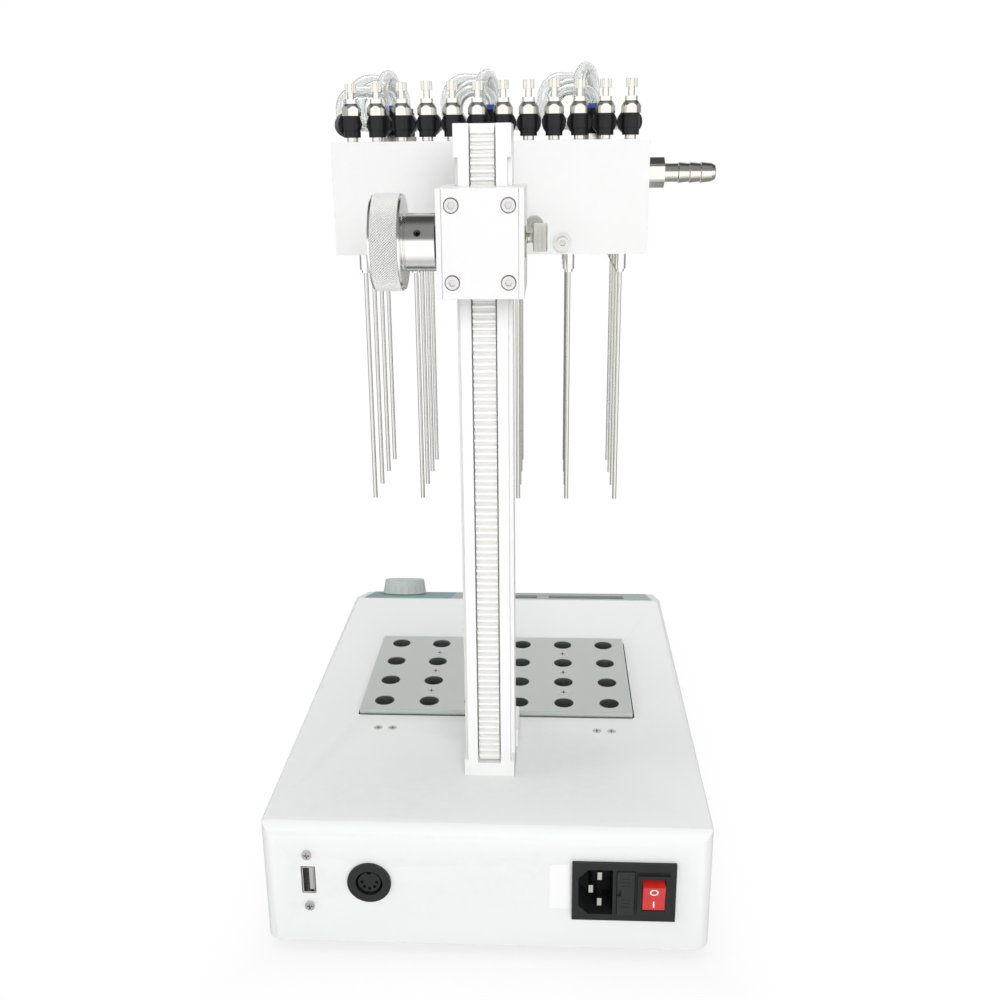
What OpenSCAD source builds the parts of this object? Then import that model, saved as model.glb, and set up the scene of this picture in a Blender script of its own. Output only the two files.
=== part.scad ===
/* [Sample blocks] */
// Distance from one sample hole to the next
pitch = 25; // [24:0.5:27]
// Diameter of a sample hole
hole_d = 10.7; // [6:0.1:12]
// Depth of a sample hole
hole_deep = 40; // [25:1:42]
// Height of a block
block_h = 45; // [44:1:50]
// Height of the blocks' top over the deck
block_proud = 3; // [1:0.5:6]
// Gap between the two blocks
block_gap = 0.4; // [0.2:0.1:2]
// Metal in front of the first and behind the last row of holes, from their centres
block_rim = 10.5; // [8:0.5:14]

/* [Housing] */
// Width of the housing
case_w = 210; // [200:1:240]
// Height of the housing without its feet
case_h = 63; // [58:1:80]
// Height of the rubber feet
foot_h = 5; // [5:0.5:10]
// Distance of the rear panel behind the middle of the blocks
case_back = 155; // [150:1:180]
// Distance of the deck's front edge before the middle of the blocks
deck_front = 116; // [105:1:140]
// Slope of the control panel
slope = 18; // [12:1:22]
// Length of the control panel down its slope
slope_len = 62; // [58:1:80]
// Thickness of the housing's sheet
skin = 1.5; // [1:0.1:2]
// Thickness of the base plate
floor_t = 2; // [1.5:0.5:4]
// Thickness of the insulating tray round the blocks
tray_t = 8; // [5:0.5:12]
// Thickness of the heater plate under the blocks
heater_t = 3; // [2:0.5:5]

/* [Control panel] */
// Diameter of the control knob
dial_d = 31; // [24:1:34]
// Height of the control knob
dial_h = 10; // [8:0.5:16]
// Distance of the control knob from the housing's side
dial_side = 29.2; // [25:0.1:45]
// Distance of the control knob down the slope
dial_s = 40; // [24:1:42]
// Depth of the display windows along the slope
window_d = 18; // [10:1:24]

/* [Post and carriage] */
// Width of the post
post_w = 24.5; // [23.5:0.5:30]
// Depth of the post
post_d = 28; // [25:0.5:40]
// Height of the post over the deck
post_h = 306.6; // [300:0.1:340]
// Distance of the post's rear face behind the middle of the blocks
post_back = 109; // [106:0.5:115]
// Width of the toothed rack
rack_w = 10; // [8:0.5:10.5]
// Module of the rack and pinion
module_mm = 1; // [0.9:0.05:1.1]
// Number of the pinion's teeth
pinion_teeth = 18; // [17:1:20]
// Height of the handwheel's axis over the deck
ride_h = 259.3; // [250:0.1:262]
// Width of the carriage
carriage_w = 36; // [34:0.5:44]
// Height of the carriage
carriage_h = 44.2; // [42:0.1:60]
// Thickness of the carriage's rear cover
cover_t = 3; // [2:0.5:5]
// Diameter of the pinion's shaft
shaft_d = 6; // [5:0.5:6.5]
// Diameter of the handwheel's rim
wheel_d = 40.4; // [34:0.1:60]
// Diameter of the handwheel's hub
hub_d = 24; // [18:0.5:30]
// Diameter of the clamping screw's thread
clamp_d = 5; // [4:0.5:6]
// Diameter of the clamping screw's head
clamp_head_d = 12.4; // [10:0.1:16]

/* [Gas chamber] */
// Distance from the outer needles to the chamber's sides
chamber_side = 12; // [11.5:0.5:15.5]
// Depth of the chamber
chamber_d = 100; // [99:1:104]
// Height of the chamber
chamber_h = 52; // [46:1:60]
// Distance of the chamber's underside below the handwheel's axis
chamber_drop = 11.3; // [8:0.1:16]
// Thickness of the chamber's walls
wall = 8; // [7:0.5:9]
// Thickness of the needle plate
plate_t = 6; // [4:0.5:8]
// Reach of the needles below the chamber
needle_len = 126; // [100:1:140]
// Diameter of a needle
needle_d = 2.1; // [1.8:0.1:2.6]
// Bore of a needle
needle_bore = 1.3; // [0.6:0.1:1.4]
// Diameter of a needle's holder
holder_d = 5.6; // [5:0.1:8]

/* [Gas fittings] */
// Distance from one valve to the next
valve_pitch = 12; // [12:0.1:12.2]
// Distance of the row of valves behind the middle of the chamber
valve_y = 38; // [38:0.5:42]
// Diameter of a port for a tube
port_d = 11.6; // [10:0.1:11.6]
// Outer diameter of the tubes
tube_d = 6; // [4:0.5:6]
// Bore of the tubes
tube_bore = 4; // [2:0.5:4]
// Diameter of a valve's knob
tap_d = 5.3; // [4.5:0.1:7]
// Height of a valve's knob
tap_h = 3.9; // [3:0.1:6]
// Diameter of the hose connector's stem
barb_d = 8.8; // [8:0.1:9.4]
// Length of the hose connector's stem
barb_len = 24.8; // [20:0.1:30]

/* [Hidden] */
$fn = 48;

// General clearances
slide_gap = 0.3;    // between pieces that slide past each other
turn_gap = 0.05;    // round a shaft in its bore
fit_gap = 0.15;     // round a piece that is set into a cut-out
slot_gap = 1;       // round the blocks in the deck
eps = 0.01;
seat_gap = 0.05;     // where a piece lies against the inside of the cover

// Heights and places of the housing
deck_z = foot_h + case_h;
floor_z = foot_h + floor_t;
dial_x = case_w / 2 - dial_side;
nose_y = -deck_front - slope_len * cos(slope);
nose_z = deck_z - slope_len * sin(slope);
bend_r = 8;         // rear bend and rear corners
nose_r = 4;         // front bend
corner_r = 5;       // front corners
edge_r = 2.5;       // edges along the sides
foot_d = 18;
foot_x = 85;
foot_y = 130;
foot_hole_d = 8;
foot_recess = 2;
foot_head_h = 1.5;
foot_head_gap = 0.4;
foot_screw_d = 4;

// The blocks
columns = 6;
rows = 4;
block_w = columns / 2 * pitch - block_gap;
block_d = (rows - 1) * pitch + 2 * block_rim;
block_top = deck_z + block_proud;
block_floor = block_top - block_h;
heater_z = block_floor - heater_t;
tray_floor = 3;
tray_z = heater_z - tray_floor;
block_screw_d = 3;

// The control panel
overlay_t = 0.4;
window_t = 0.7;
overlay_edge = 3;
encoder_d = 7;
spindle_d = 6;
window_s = 22;                          // middle of the windows down the slope
window_x = [[-55, 52], [-11, 19]];      // middle and width of each window

// The post and its rack
post_front = post_back - post_d;
post_top = deck_z + post_h;
step_w = 1.8;       // how far the post's rear part is set in
step_d = 8;
step_low = 8.7;     // height of the plain foot over the deck
step_high = 13.6;   // height of the plain head under the post's top
channel_w = rack_w + 1.2;
channel_d = 6;
channel_z = deck_z + 7;
rack_tip = 0.3;     // how far the teeth stay inside the post's rear face
rack_end = 1;
post_foot_w = 26.8;
post_foot_d = 26;
post_foot_h = 10;

// The carriage round the handwheel's axis
axis_z = deck_z + ride_h;
pitch_line = post_back - rack_tip - module_mm;
pinion_r = module_mm * pinion_teeth / 2;
axis_y = pitch_line + pinion_r;
pinion_w = rack_w - 1;
pressure = 20;
mesh_gap = 0.06;    // taken off each side of a pinion tooth
cavity_gap = 1.3;   // round the pinion
front_wall = 8.7;
carriage_front = post_front - slide_gap - front_wall;
cover_y = axis_y + pinion_r + module_mm + cavity_gap;
carriage_back = cover_y + cover_t;
cover_w = carriage_w - 4.4;
cavity_w = pinion_w + 4;
cavity_h = 2 * (pinion_r + module_mm + cavity_gap) + 1;
bush_d = shaft_d + 3;
flange_d = shaft_d + 7;
flange_t = 0.8;
arm_w = 30;
arm_h = 36;
cover_screw_x = carriage_w / 2 - 6.4;
cover_screw_z = carriage_h / 2 - 6.7;
cover_screw_d = 3;
hub_x = carriage_w / 2 + flange_t + 0.2;
hub_l = 13.5;
wheel_l = 13;
wheel_screw_d = 3;
wheel_screw_x = hub_x + 7;
wheel_screw_turn = 22;
clamp_y = post_front + (post_d - step_d) * 0.7;
clamp_stem = 3;
clamp_head_l = 6.3;

// The chamber
chamber_w = (columns - 1) * pitch + 2 * chamber_side;
chamber_z = axis_z - chamber_drop;
chamber_top = chamber_z + chamber_h;
roof_t = 6;
rebate = 3;
side_y = 25;        // place of the end plug and the hose connector
side_z = chamber_z + 36.5;
plug_d = 12;
plug_dome = 4;
hex_af = 13;
hex_l = 8;
thread_d = 10;
holder_l = 8;
collar_d = 4;
chamber_screw_places = [[34.3, 5.5], [20.9, 13.7]];

// Valves and fittings
valves = columns * rows / 2;
valve_base_d = 5.3;
valve_base_h = 2;
valve_body_d = 8;
valve_body_h = 9.8;
valve_hex_h = 5.4;
core_d = 5;
lock_d = 6;
lock_h = 2;
tap_stem_d = 3.1;
tap_stem_h = 3.6;
tap_depth = 6;
tap_lift = [-0.7, -0.5, -0.2, 0.1, 0, -0.2, 0.2, 0.3, 0.5, 0.1, 0.2, 0.4];
port_z = chamber_top + 8;
port_back = 5;      // from the valve's middle to the back of the port
port_mouth = 14;    // from the valve's middle to the mouth of the port
tube_seat = 6;      // from the valve's middle to the end of the tube
first_turn = atan2(44, 117);    // the first valve's port is turned outward
fit_d = 9.6;
fit_base_h = 3;
fit_body_h = 12;
fit_seat = 11;      // height of the tube's end over the chamber
ring_t = 2.2;
sleeve_l = 4.5;
thread_l = 5;
thread_hole_d = 5;
group_x = [50, 0, -50];
fit_y = [8, -5, -29, -40.5];

// The rear panel
panel_hole_gap = 0.2;
usb_at = [case_w / 2 - 22.2, 39];
usb_w = 6.8;
usb_h = 14.7;
usb_screw = 13.85;
panel_screw_d = 2.5;
din_at = [case_w / 2 - 50.9, 38.8];
din_d = 20.5;
din_face_d = 12.7;
inlet_at = [40.9 - case_w / 2, 37.3];
inlet_w = 47.7;
inlet_h = 30.6;
inlet_t = 2;
inlet_depth = 26;
inlet_lip = 1.8;
socket_x = 13.05;   // middle of the socket from the middle of the inlet
socket_w = 15.7;
socket_h = 23.8;
socket_deep = 18;
drawer_x = -0.8;
drawer_w = 8.4;
drawer_h = 23.3;
drawer_deep = 20;
drawer_proud = 0.6;
rocker_x = -13.55;
rocker_w = 10.3;
rocker_h = 14.9;
rocker_tilt = 7;
frame_w = 15.1;
frame_h = 20.3;
label_at = [-34.4, 38.6];
label_w = 9;
label_h = 23.6;
deck_screw_places = [[62.5, 62.8], [54.8, 62.8]];

// Screws, pins and the routes of the tubes
block_screw_l = 12;
board_w = 120;
board_d = 60;
board_t = 1.6;
board_x = -25;
board_y = -block_d / 2 - slot_gap - tray_t - 20 - board_d;
board_z = floor_z + 6;
pin_t = 2;
pin_w = 4;
pin_places = [[-1.9, 7], [-1.9, -7], [2.1, 0]];
rocker_pivot = -2.5;
rocker_room = 9;
cover_head_d = 5.5;
cover_head_h = 2.2;
shaft_in = hub_l - 1.5;
chamber_screw_d = 3;
chamber_screw_l = wall - rebate - 0.2;
washer_d = 8.7;
washer_t = 0.8;
ring_sleeve_d = tube_d + 1.4;
arch_low = chamber_top + 23.7;
arch_high = chamber_top + 31;
arch_last = chamber_top + 33.5;
arch_inner = chamber_top + 28;
tube_end = chamber_top + fit_seat;
lane_y = [-14, -21];
rise_x = [20, 26];
jog = [0, 3, 4.5];      // how far each group's third tube steps aside
jog_y = 19.5;
first_tilt = [7 / 24, 237 / 3116, 237 / 3116];      // slopes of the short tubes, seen from above
second_tilt = [43 / 8, 24 / 7, 117 / 44];

// ---------- general shapes ----------

function unit(v) = v / norm(v);

// A convex outline with round corners
module rounded(p, r) {
    n = len(p);
    function to_last(i) = unit(p[(i + n - 1) % n] - p[i]);
    function to_next(i) = unit(p[(i + 1) % n] - p[i]);
    function half(i) = acos(to_last(i) * to_next(i)) / 2;
    function reach(i) = r[i] / tan(half(i));
    polygon([for (i = [0:n - 1])
        each r[i] > 0 ? [p[i] + reach(i) * to_last(i), p[i] + reach(i) * to_next(i)] : [p[i]]]);
    for (i = [0:n - 1])
        if (r[i] > 0)
            translate(p[i] + r[i] / sin(half(i)) * unit(to_last(i) + to_next(i))) circle(r = r[i]);
}

// A box with round upright edges, standing on z = 0
module round_box(w, d, h, r) {
    linear_extrude(h)
        rounded([[-w / 2, -d / 2], [w / 2, -d / 2], [w / 2, d / 2], [-w / 2, d / 2]], [r, r, r, r]);
}

// A box centred in x and y, standing on z = 0
module block(w, d, h) {
    translate([-w / 2, -d / 2, 0]) cube([w, d, h]);
}

// Shapes that lie along +X or +Y
module along_x() rotate([0, 90, 0]) children();
module along_y() rotate([-90, 0, 0]) children();

module ring(outer, bore) {
    difference() {
        circle(d = outer);
        circle(d = bore);
    }
}

module sleeve(outer, bore, h) linear_extrude(h) ring(outer, bore);

// A six-sided prism across its flats
module hex(af, h) cylinder(d = af / cos(30), h = h, $fn = 6);

// A round bar with straight knurls
module knurled(d, h, count, depth) {
    linear_extrude(h)
        polygon([for (i = [0:2 * count - 1])
            (d / 2 - (i % 2) * depth) * [cos(180 * i / count), sin(180 * i / count)]]);
}

// A cap screw whose head stands on z = 0
module cap_screw(d, l, head_d, head_h) {
    difference() {
        union() {
            cylinder(d = head_d, h = head_h);
            translate([0, 0, -l]) cylinder(d = d, h = l + head_h / 2);
        }
        translate([0, 0, head_h * 0.45]) hex(head_d * 0.5, head_h);
    }
}

// A countersunk screw whose head is level with z = 0
module sunk_screw(d, l) {
    head_h = d / 2;
    difference() {
        union() {
            translate([0, 0, -head_h]) cylinder(d1 = d, d2 = 2 * d, h = head_h);
            translate([0, 0, -l]) cylinder(d = d, h = l - head_h / 2);
        }
        for (turn = [0, 90])
            rotate(turn) translate([-d * 0.6, -d * 0.1, -head_h * 0.6]) cube([d * 1.2, d * 0.2, head_h]);
    }
}

module sunk_hole(d, l) {
    translate([0, 0, -d / 2]) cylinder(d1 = d, d2 = 2 * d, h = d / 2);
    translate([0, 0, -l]) cylinder(d = d, h = l);
    cylinder(d = 2 * d, h = 1);
}

// Bent tubes: legs between the points p, with the bend radius r[i] at point i
function leg(p, i) = unit(p[i + 1] - p[i]);
function turn(p, i) = acos(leg(p, i - 1) * leg(p, i));
function cut(p, r, i) = r[i] == 0 ? 0 : r[i] * tan(turn(p, i) / 2);

// A bend that starts along +Z and turns by t towards +X; what follows it stands on its end
module bend(r, t, outer, bore) {
    translate([r, 0, 0]) rotate([-90, 0, 0]) rotate(180)
        rotate_extrude(angle = t) translate([r, 0]) ring(outer, bore);
    translate([r, 0, 0]) rotate([0, t, 0]) translate([-r, 0, 0]) children();
}

// Leg i along +Z, with side as its own X direction, and all that follows it
module tube_leg(p, r, i, side, outer, bore) {
    ahead = leg(p, i);
    l = norm(p[i + 1] - p[i]) - cut(p, r, i) - cut(p, r, i + 1);
    sleeve(outer, bore, l);
    if (i < len(p) - 2) {
        next = leg(p, i + 1);
        way = atan2(next * cross(ahead, side), next * side);
        t = turn(p, i + 1);
        inward = cos(way) * side + sin(way) * cross(ahead, side);
        translate([0, 0, l]) rotate(way) bend(r[i + 1], t, outer, bore)
            tube_leg(p, r, i + 1, cos(t) * inward - sin(t) * ahead, outer, bore);
    }
}

module bent_tube(p, r, outer, bore) {
    ahead = leg(p, 0);
    side = [-ahead[1], ahead[0], 0];
    up = cross(ahead, side);
    translate(p[0])
        multmatrix([[side[0], up[0], ahead[0]], [side[1], up[1], ahead[1]], [side[2], up[2], ahead[2]]])
            tube_leg(p, r, 0, side, outer, bore);
}

// ---------- places ----------

module at_holes() {
    for (i = [0:columns - 1], j = [0:rows - 1])
        translate([(i - (columns - 1) / 2) * pitch, (j - (rows - 1) / 2) * pitch, 0]) children();
}

module on_slope(x, s) {
    translate([0, -deck_front, deck_z]) rotate([slope, 0, 0]) translate([x, -s, 0]) children();
}

// On the rear panel: local z points to the rear, local x to -X, local y up
module on_rear(at) translate([at[0], case_back, at[1]]) rotate([90, 0, 180]) children();

module on_axis() translate([0, axis_y, axis_z]) children();

function valve_x(i) = ((valves - 1) / 2 - i) * valve_pitch;
function valve_turn(i) = i == 0 ? first_turn : 0;
module at_valve(i) translate([valve_x(i), valve_y, chamber_top]) rotate(valve_turn(i)) children();
module at_valves() for (i = [0:valves - 1]) at_valve(i) children();
module at_fittings() for (x = group_x, y = fit_y) translate([x, y, chamber_top]) children();

// ---------- housing ----------

function side_profile(s) = [
    [nose_y + s, foot_h - s], [case_back - s, foot_h - s], [case_back - s, deck_z - s],
    [-deck_front + s * tan(slope / 2), deck_z - s],
    [nose_y + s, nose_z - s * (1 - sin(slope)) / cos(slope)]];

// The housing's outer shape, drawn in by s
module case_shape(s, low) {
    half = case_w / 2 - s;
    mid_y = (case_back + nose_y) / 2;
    length = case_back - nose_y;
    intersection() {
        rotate([90, 0, 90]) linear_extrude(case_w, center = true)
            rounded(side_profile(s), [0, 0, bend_r - s, 0, nose_r - s]);
        translate([0, 0, low]) linear_extrude(deck_z)
            rounded([[-half, nose_y + s], [half, nose_y + s], [half, case_back - s], [-half, case_back - s]],
                [corner_r - s, corner_r - s, bend_r - s, bend_r - s]);
        translate([0, mid_y + length / 2, 0]) rotate([90, 0, 0]) linear_extrude(length)
            rounded([[-half, low], [half, low], [half, deck_z - s], [-half, deck_z - s]],
                [0, 0, edge_r - s, edge_r - s]);
    }
}

module housing_cover() {
    color("gainsboro") difference() {
        case_shape(0, foot_h);
        case_shape(skin, foot_h - skin);
        translate([0, 0, deck_z - skin - 1]) round_box(2 * block_w + block_gap + 2 * slot_gap,
            block_d + 2 * slot_gap, skin + 2, 2);
        translate([0, post_front + post_d / 2, deck_z - skin - 1])
            block(post_w + 2 * fit_gap, post_d + 2 * fit_gap, skin + 2);
        on_slope(dial_x, dial_s) translate([0, 0, -skin - 1]) cylinder(d = encoder_d, h = skin + 2);
        for (side = [-1, 1], at = deck_screw_places)
            translate([side * at[0], at[1], deck_z]) sunk_hole(panel_screw_d, 5);
        on_rear(usb_at) {
            translate([0, 0, -skin - 1]) linear_extrude(skin + 2) square([usb_w, usb_h], center = true);
            for (side = [-1, 1])
                translate([0, side * usb_screw, -skin - 1]) cylinder(d = panel_screw_d, h = skin + 2);
        }
        on_rear(din_at) translate([0, 0, -skin - 1]) cylinder(d = din_d - 4, h = skin + 2);
        on_rear(inlet_at) translate([0, 0, -skin - 1]) linear_extrude(skin + 2)
            square([inlet_w - 2 * inlet_lip, inlet_h - 2 * inlet_lip], center = true);
    }
}

module base_plate() {
    pillar_d = 8;
    color("dimgray") difference() {
        union() {
            intersection() {
                case_shape(skin + fit_gap, foot_h);
                translate([0, 0, foot_h]) linear_extrude(floor_t) square(2 * case_w, center = true);
            }
            for (x = [-1, 1], y = [-1, 1])
                translate([x * block_w * 0.8, y * block_d * 0.35, floor_z - eps])
                    cylinder(d = pillar_d, h = tray_z - floor_z + eps);
            for (x = [-1, 1], y = [0, 1])
                translate([board_x + x * (board_w / 2 - 6), board_y + y * (board_d - 12) + 6, floor_z - eps])
                    cylinder(d = pillar_d - 2, h = board_z - floor_z + eps);
        }
        for (x = [-1, 1], y = [-1, 1])
            translate([x * foot_x, y * foot_y, foot_h - 1]) cylinder(d = foot_screw_d, h = floor_t + 2);
    }
}

module rubber_feet() {
    color([0.12, 0.12, 0.12]) for (x = [-1, 1], y = [-1, 1])
        translate([x * foot_x, y * foot_y, 0]) difference() {
            cylinder(d1 = foot_d - 2, d2 = foot_d, h = foot_h);
            translate([0, 0, -1]) cylinder(d = foot_hole_d, h = foot_recess + 1);
            cylinder(d = foot_hole_d - 0.6, h = foot_recess + foot_head_gap + foot_head_h);
            cylinder(d = foot_screw_d, h = foot_h + 1);
        }
}

module foot_screws() {
    seat = foot_recess + foot_head_gap + foot_head_h;
    color("silver") for (x = [-1, 1], y = [-1, 1])
        translate([x * foot_x, y * foot_y, seat]) rotate([180, 0, 0])
            cap_screw(foot_screw_d, foot_h - seat + floor_t, foot_hole_d - 1, foot_head_h);
}

// ---------- control panel ----------

module panel_overlay() {
    color("lightslategray") difference() {
        on_slope(0, slope_len / 2)
            block(case_w - 2 * (edge_r + overlay_edge), slope_len - nose_r - 2 * overlay_edge, overlay_t);
        on_slope(dial_x, dial_s) translate([0, 0, -1]) cylinder(d = encoder_d + 2, h = 3);
        for (w = window_x)
            on_slope(w[0], window_s) translate([0, 0, -1])
                block(w[1] + 2 * fit_gap, window_d + 2 * fit_gap, 3);
    }
}

module display_windows() {
    color([0.1, 0.12, 0.14]) for (w = window_x)
        on_slope(w[0], window_s) round_box(w[1], window_d, window_t, 1);
}

module knob_encoder() {
    body = 13;
    body_h = 7;
    nut_h = 2;
    color("darkgray") on_slope(dial_x, dial_s) difference() {
        union() {
            translate([0, 0, -skin - seat_gap - body_h]) block(body, body, body_h);
            translate([0, 0, -skin - 1]) cylinder(d = encoder_d, h = skin + overlay_t + nut_h + 2);
            translate([0, 0, overlay_t]) hex(encoder_d + 3, nut_h);
            cylinder(d = encoder_d + 2, h = overlay_t + eps);
        }
        translate([0, 0, -skin - body_h + 1]) cylinder(d = spindle_d + 2 * turn_gap, h = 20);
    }
}

module control_knob() {
    flutes = 18;
    lift = overlay_t + 0.5;
    hollow_h = 4.5;
    draft = 1.6;
    color("lightgray") on_slope(dial_x, dial_s) difference() {
        union() {
            translate([0, 0, lift]) cylinder(d1 = dial_d, d2 = dial_d - 2 * draft, h = dial_h);
            translate([0, 0, -skin - 5]) cylinder(d = spindle_d, h = lift + dial_h / 2 + skin + 5);
        }
        translate([0, 0, lift - 1]) difference() {
            cylinder(d = encoder_d + 6, h = hollow_h + 1);
            translate([0, 0, -1]) cylinder(d = spindle_d, h = hollow_h + 3);
        }
        for (i = [0:flutes - 1])
            rotate((i + 0.5) * 360 / flutes) translate([dial_d / 2 + 0.5, 0, lift + 1.5])
                cylinder(d = 3, h = dial_h);
        rotate(90) translate([dial_d / 2 - draft - 5, -0.6, lift + dial_h - 0.6]) cube([8, 1.2, 1]);
    }
}

// ---------- blocks ----------

module sample_block(side) {
    color("silver") difference() {
        translate([side * (block_gap + block_w) / 2, 0, block_floor]) block(block_w, block_d, block_h);
        at_holes() translate([0, 0, block_top - hole_deep]) cylinder(d = hole_d, h = hole_deep + 1);
        at_block_screws() sunk_hole(block_screw_d, block_screw_l + 1);
    }
}

module at_block_screws() {
    for (side = [-1, 1], j = [-1, 0, 1])
        translate([side * (block_gap + block_w) / 2, j * pitch, block_top]) children();
}

module block_left() sample_block(-1);
module block_right() sample_block(1);
module block_screws() color("lightgray") at_block_screws() sunk_screw(block_screw_d, block_screw_l);

module heater_plate() {
    color("darkorange") translate([0, 0, heater_z]) block(2 * block_w + block_gap, block_d, heater_t);
}

module insulation_tray() {
    inner_w = 2 * block_w + block_gap + 2 * slot_gap;
    inner_d = block_d + 2 * slot_gap;
    color([0.25, 0.24, 0.22]) difference() {
        translate([0, 0, tray_z]) block(inner_w + 2 * tray_t, inner_d + 2 * tray_t, deck_z - skin - seat_gap - tray_z);
        translate([0, 0, heater_z]) block(inner_w, inner_d, deck_z);
        for (side = [-1, 1], at = deck_screw_places)
            translate([side * at[0], at[1], deck_z]) cylinder(d = panel_screw_d, h = 20, center = true);
    }
}

module circuit_board() {
    color("darkgreen") translate([board_x - board_w / 2, board_y, board_z]) {
        cube([board_w, board_d, board_t]);
        translate([15, 12, board_t - eps]) cube([22, 16, 9]);
        translate([50, 14, board_t - eps]) cube([30, 20, 12]);
        translate([92, 20, board_t - eps]) cylinder(d = 13, h = 18);
        translate([92, 40, board_t - eps]) cylinder(d = 10, h = 14);
        translate([20, 44, board_t - eps]) cube([60, 8, 7]);
    }
}

// ---------- post ----------

module post() {
    color("whitesmoke") difference() {
        translate([0, post_front + post_d / 2, floor_z]) block(post_w, post_d, post_top - floor_z);
        for (side = [-1, 1])
            translate([side * (post_w / 2 + 1 - step_w / 2), post_back - step_d / 2 + 1, deck_z + step_low])
                block(step_w + 2, step_d + 2, post_h - step_low - step_high);
        translate([0, post_back - channel_d / 2 + 1, channel_z]) block(channel_w, channel_d + 2, post_top);
    }
}

module gear_rack() {
    low = channel_z + rack_end;
    high = post_top - rack_end;
    back = post_back - channel_d;
    gap = PI * module_mm;
    first = ceil((low - axis_z) / gap + 0.6);
    last = floor((high - axis_z) / gap - 0.6);
    root = pitch_line - 1.25 * module_mm;
    tip = pitch_line + module_mm;
    half = gap / 4;
    teeth = [for (k = [first:last]) each [
        [root, axis_z + k * gap - half - 1.25 * module_mm * tan(pressure)],
        [tip, axis_z + k * gap - half + module_mm * tan(pressure)],
        [tip, axis_z + k * gap + half - module_mm * tan(pressure)],
        [root, axis_z + k * gap + half + 1.25 * module_mm * tan(pressure)]]];
    color("goldenrod") rotate([90, 0, 90]) linear_extrude(rack_w, center = true)
        polygon(concat([[back, low], [root, low]], teeth, [[root, high], [back, high]]));
}

module post_foot() {
    color("gainsboro") translate([0, post_front - post_foot_d / 2, deck_z])
        block(post_foot_w, post_foot_d, post_foot_h);
}

// ---------- rear panel ----------

module panel_screws() {
    color("silver") {
        for (side = [-1, 1], at = deck_screw_places)
            translate([side * at[0], at[1], deck_z]) sunk_screw(panel_screw_d, 5);
        on_rear(usb_at) for (side = [-1, 1]) translate([0, side * usb_screw, 0]) difference() {
            union() {
                translate([0, 0, -skin - 3]) cylinder(d = panel_screw_d, h = skin + 3.5);
                cylinder(d = 4.6, h = 1.2);
            }
            for (turn = [0, 90]) rotate(turn) translate([-1.4, -0.3, 0.5]) cube([2.8, 0.6, 1]);
        }
    }
}

module usb_socket() {
    shell_w = usb_w - 1;
    shell_h = usb_h - 1;
    sheet = 0.4;
    deep = 13;
    color("silver") on_rear(usb_at) {
        difference() {
            translate([0, 0, -deep - 1]) linear_extrude(deep + 0.8) square([shell_w, shell_h], center = true);
            translate([0, 0, -deep]) linear_extrude(deep + 2)
                square([shell_w - 2 * sheet, shell_h - 2 * sheet], center = true);
        }
        translate([shell_w / 2 - 2.6, -shell_h / 2 + 1, -deep - eps]) cube([1.8, shell_h - 2, deep - 1]);
        difference() {
            translate([0, 0, -skin - 1.2]) linear_extrude(1.2)
                square([usb_w + 3, 2 * usb_screw + 6], center = true);
            translate([0, 0, -skin - 2]) linear_extrude(3)
                square([shell_w - eps, shell_h - eps], center = true);
            for (side = [-1, 1])
                translate([0, side * usb_screw, -skin - 2]) cylinder(d = panel_screw_d, h = 3);
        }
    }
}

module din_socket() {
    pins = 5;
    color([0.1, 0.1, 0.1]) on_rear(din_at) difference() {
        union() {
            cylinder(d = din_d, h = 1.4);
            translate([0, 0, -12]) cylinder(d = din_d - 4, h = 12 + eps);
        }
        difference() {
            translate([0, 0, -6]) cylinder(d = din_face_d, h = 9);
            translate([0, 0, -7]) cylinder(d = din_face_d - 2.2, h = 7.4);
        }
        for (i = [0:pins - 1]) rotate(180 + i * 45) translate([3.4, 0, -5]) cylinder(d = 1.6, h = 8);
        translate([-0.9, din_face_d / 2 - 2.2, -5]) cube([1.8, 2, 8]);
    }
}

// The socket's outline, with two corners cut off on its keyed side
module socket_shape(w, h) {
    chamfer = 4.5;
    polygon([[-w / 2, -h / 2 + chamfer], [-w / 2 + chamfer, -h / 2], [w / 2, -h / 2],
        [w / 2, h / 2], [-w / 2 + chamfer, h / 2], [-w / 2, h / 2 - chamfer]]);
}

module power_inlet() {
    frame_proud = 1.5;
    pivot_hole_d = 2.1;
    color([0.13, 0.13, 0.14]) on_rear(inlet_at) difference() {
        union() {
            linear_extrude(inlet_t) square([inlet_w, inlet_h], center = true);
            translate([0, 0, -inlet_depth]) linear_extrude(inlet_depth + eps)
                square([inlet_w - 2 * inlet_lip - 2 * panel_hole_gap,
                    inlet_h - 2 * inlet_lip - 2 * panel_hole_gap],
                    center = true);
            translate([-rocker_x, 0, inlet_t - eps]) linear_extrude(frame_proud + eps)
                square([frame_w, frame_h], center = true);
        }
        translate([-socket_x, 0, inlet_t - socket_deep]) linear_extrude(socket_deep + 1)
            socket_shape(socket_w, socket_h);
        at_pins() translate([0, 0, -inlet_depth - 1]) linear_extrude(inlet_depth)
            square([pin_t, pin_w], center = true);
        translate([-drawer_x, 0, inlet_t - drawer_deep - 1]) linear_extrude(drawer_deep + 2)
            square([drawer_w, drawer_h], center = true);
        translate([-rocker_x, 0, -rocker_room]) linear_extrude(rocker_room + 6)
            square([rocker_w + 2 * fit_gap, rocker_h + 1.8], center = true);
        translate([-rocker_x, 0, rocker_pivot]) along_x()
            cylinder(d = pivot_hole_d, h = rocker_w + 2 * fit_gap + 2, center = true);
    }
}

module at_pins() for (p = pin_places) translate([-socket_x - p[0], p[1], 0]) children();

module inlet_pins() {
    color("lightgray") on_rear(inlet_at) at_pins()
        translate([0, 0, -inlet_depth - 6]) linear_extrude(inlet_depth + 6 + inlet_t - 2.5)
            square([pin_t, pin_w], center = true);
}

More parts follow.
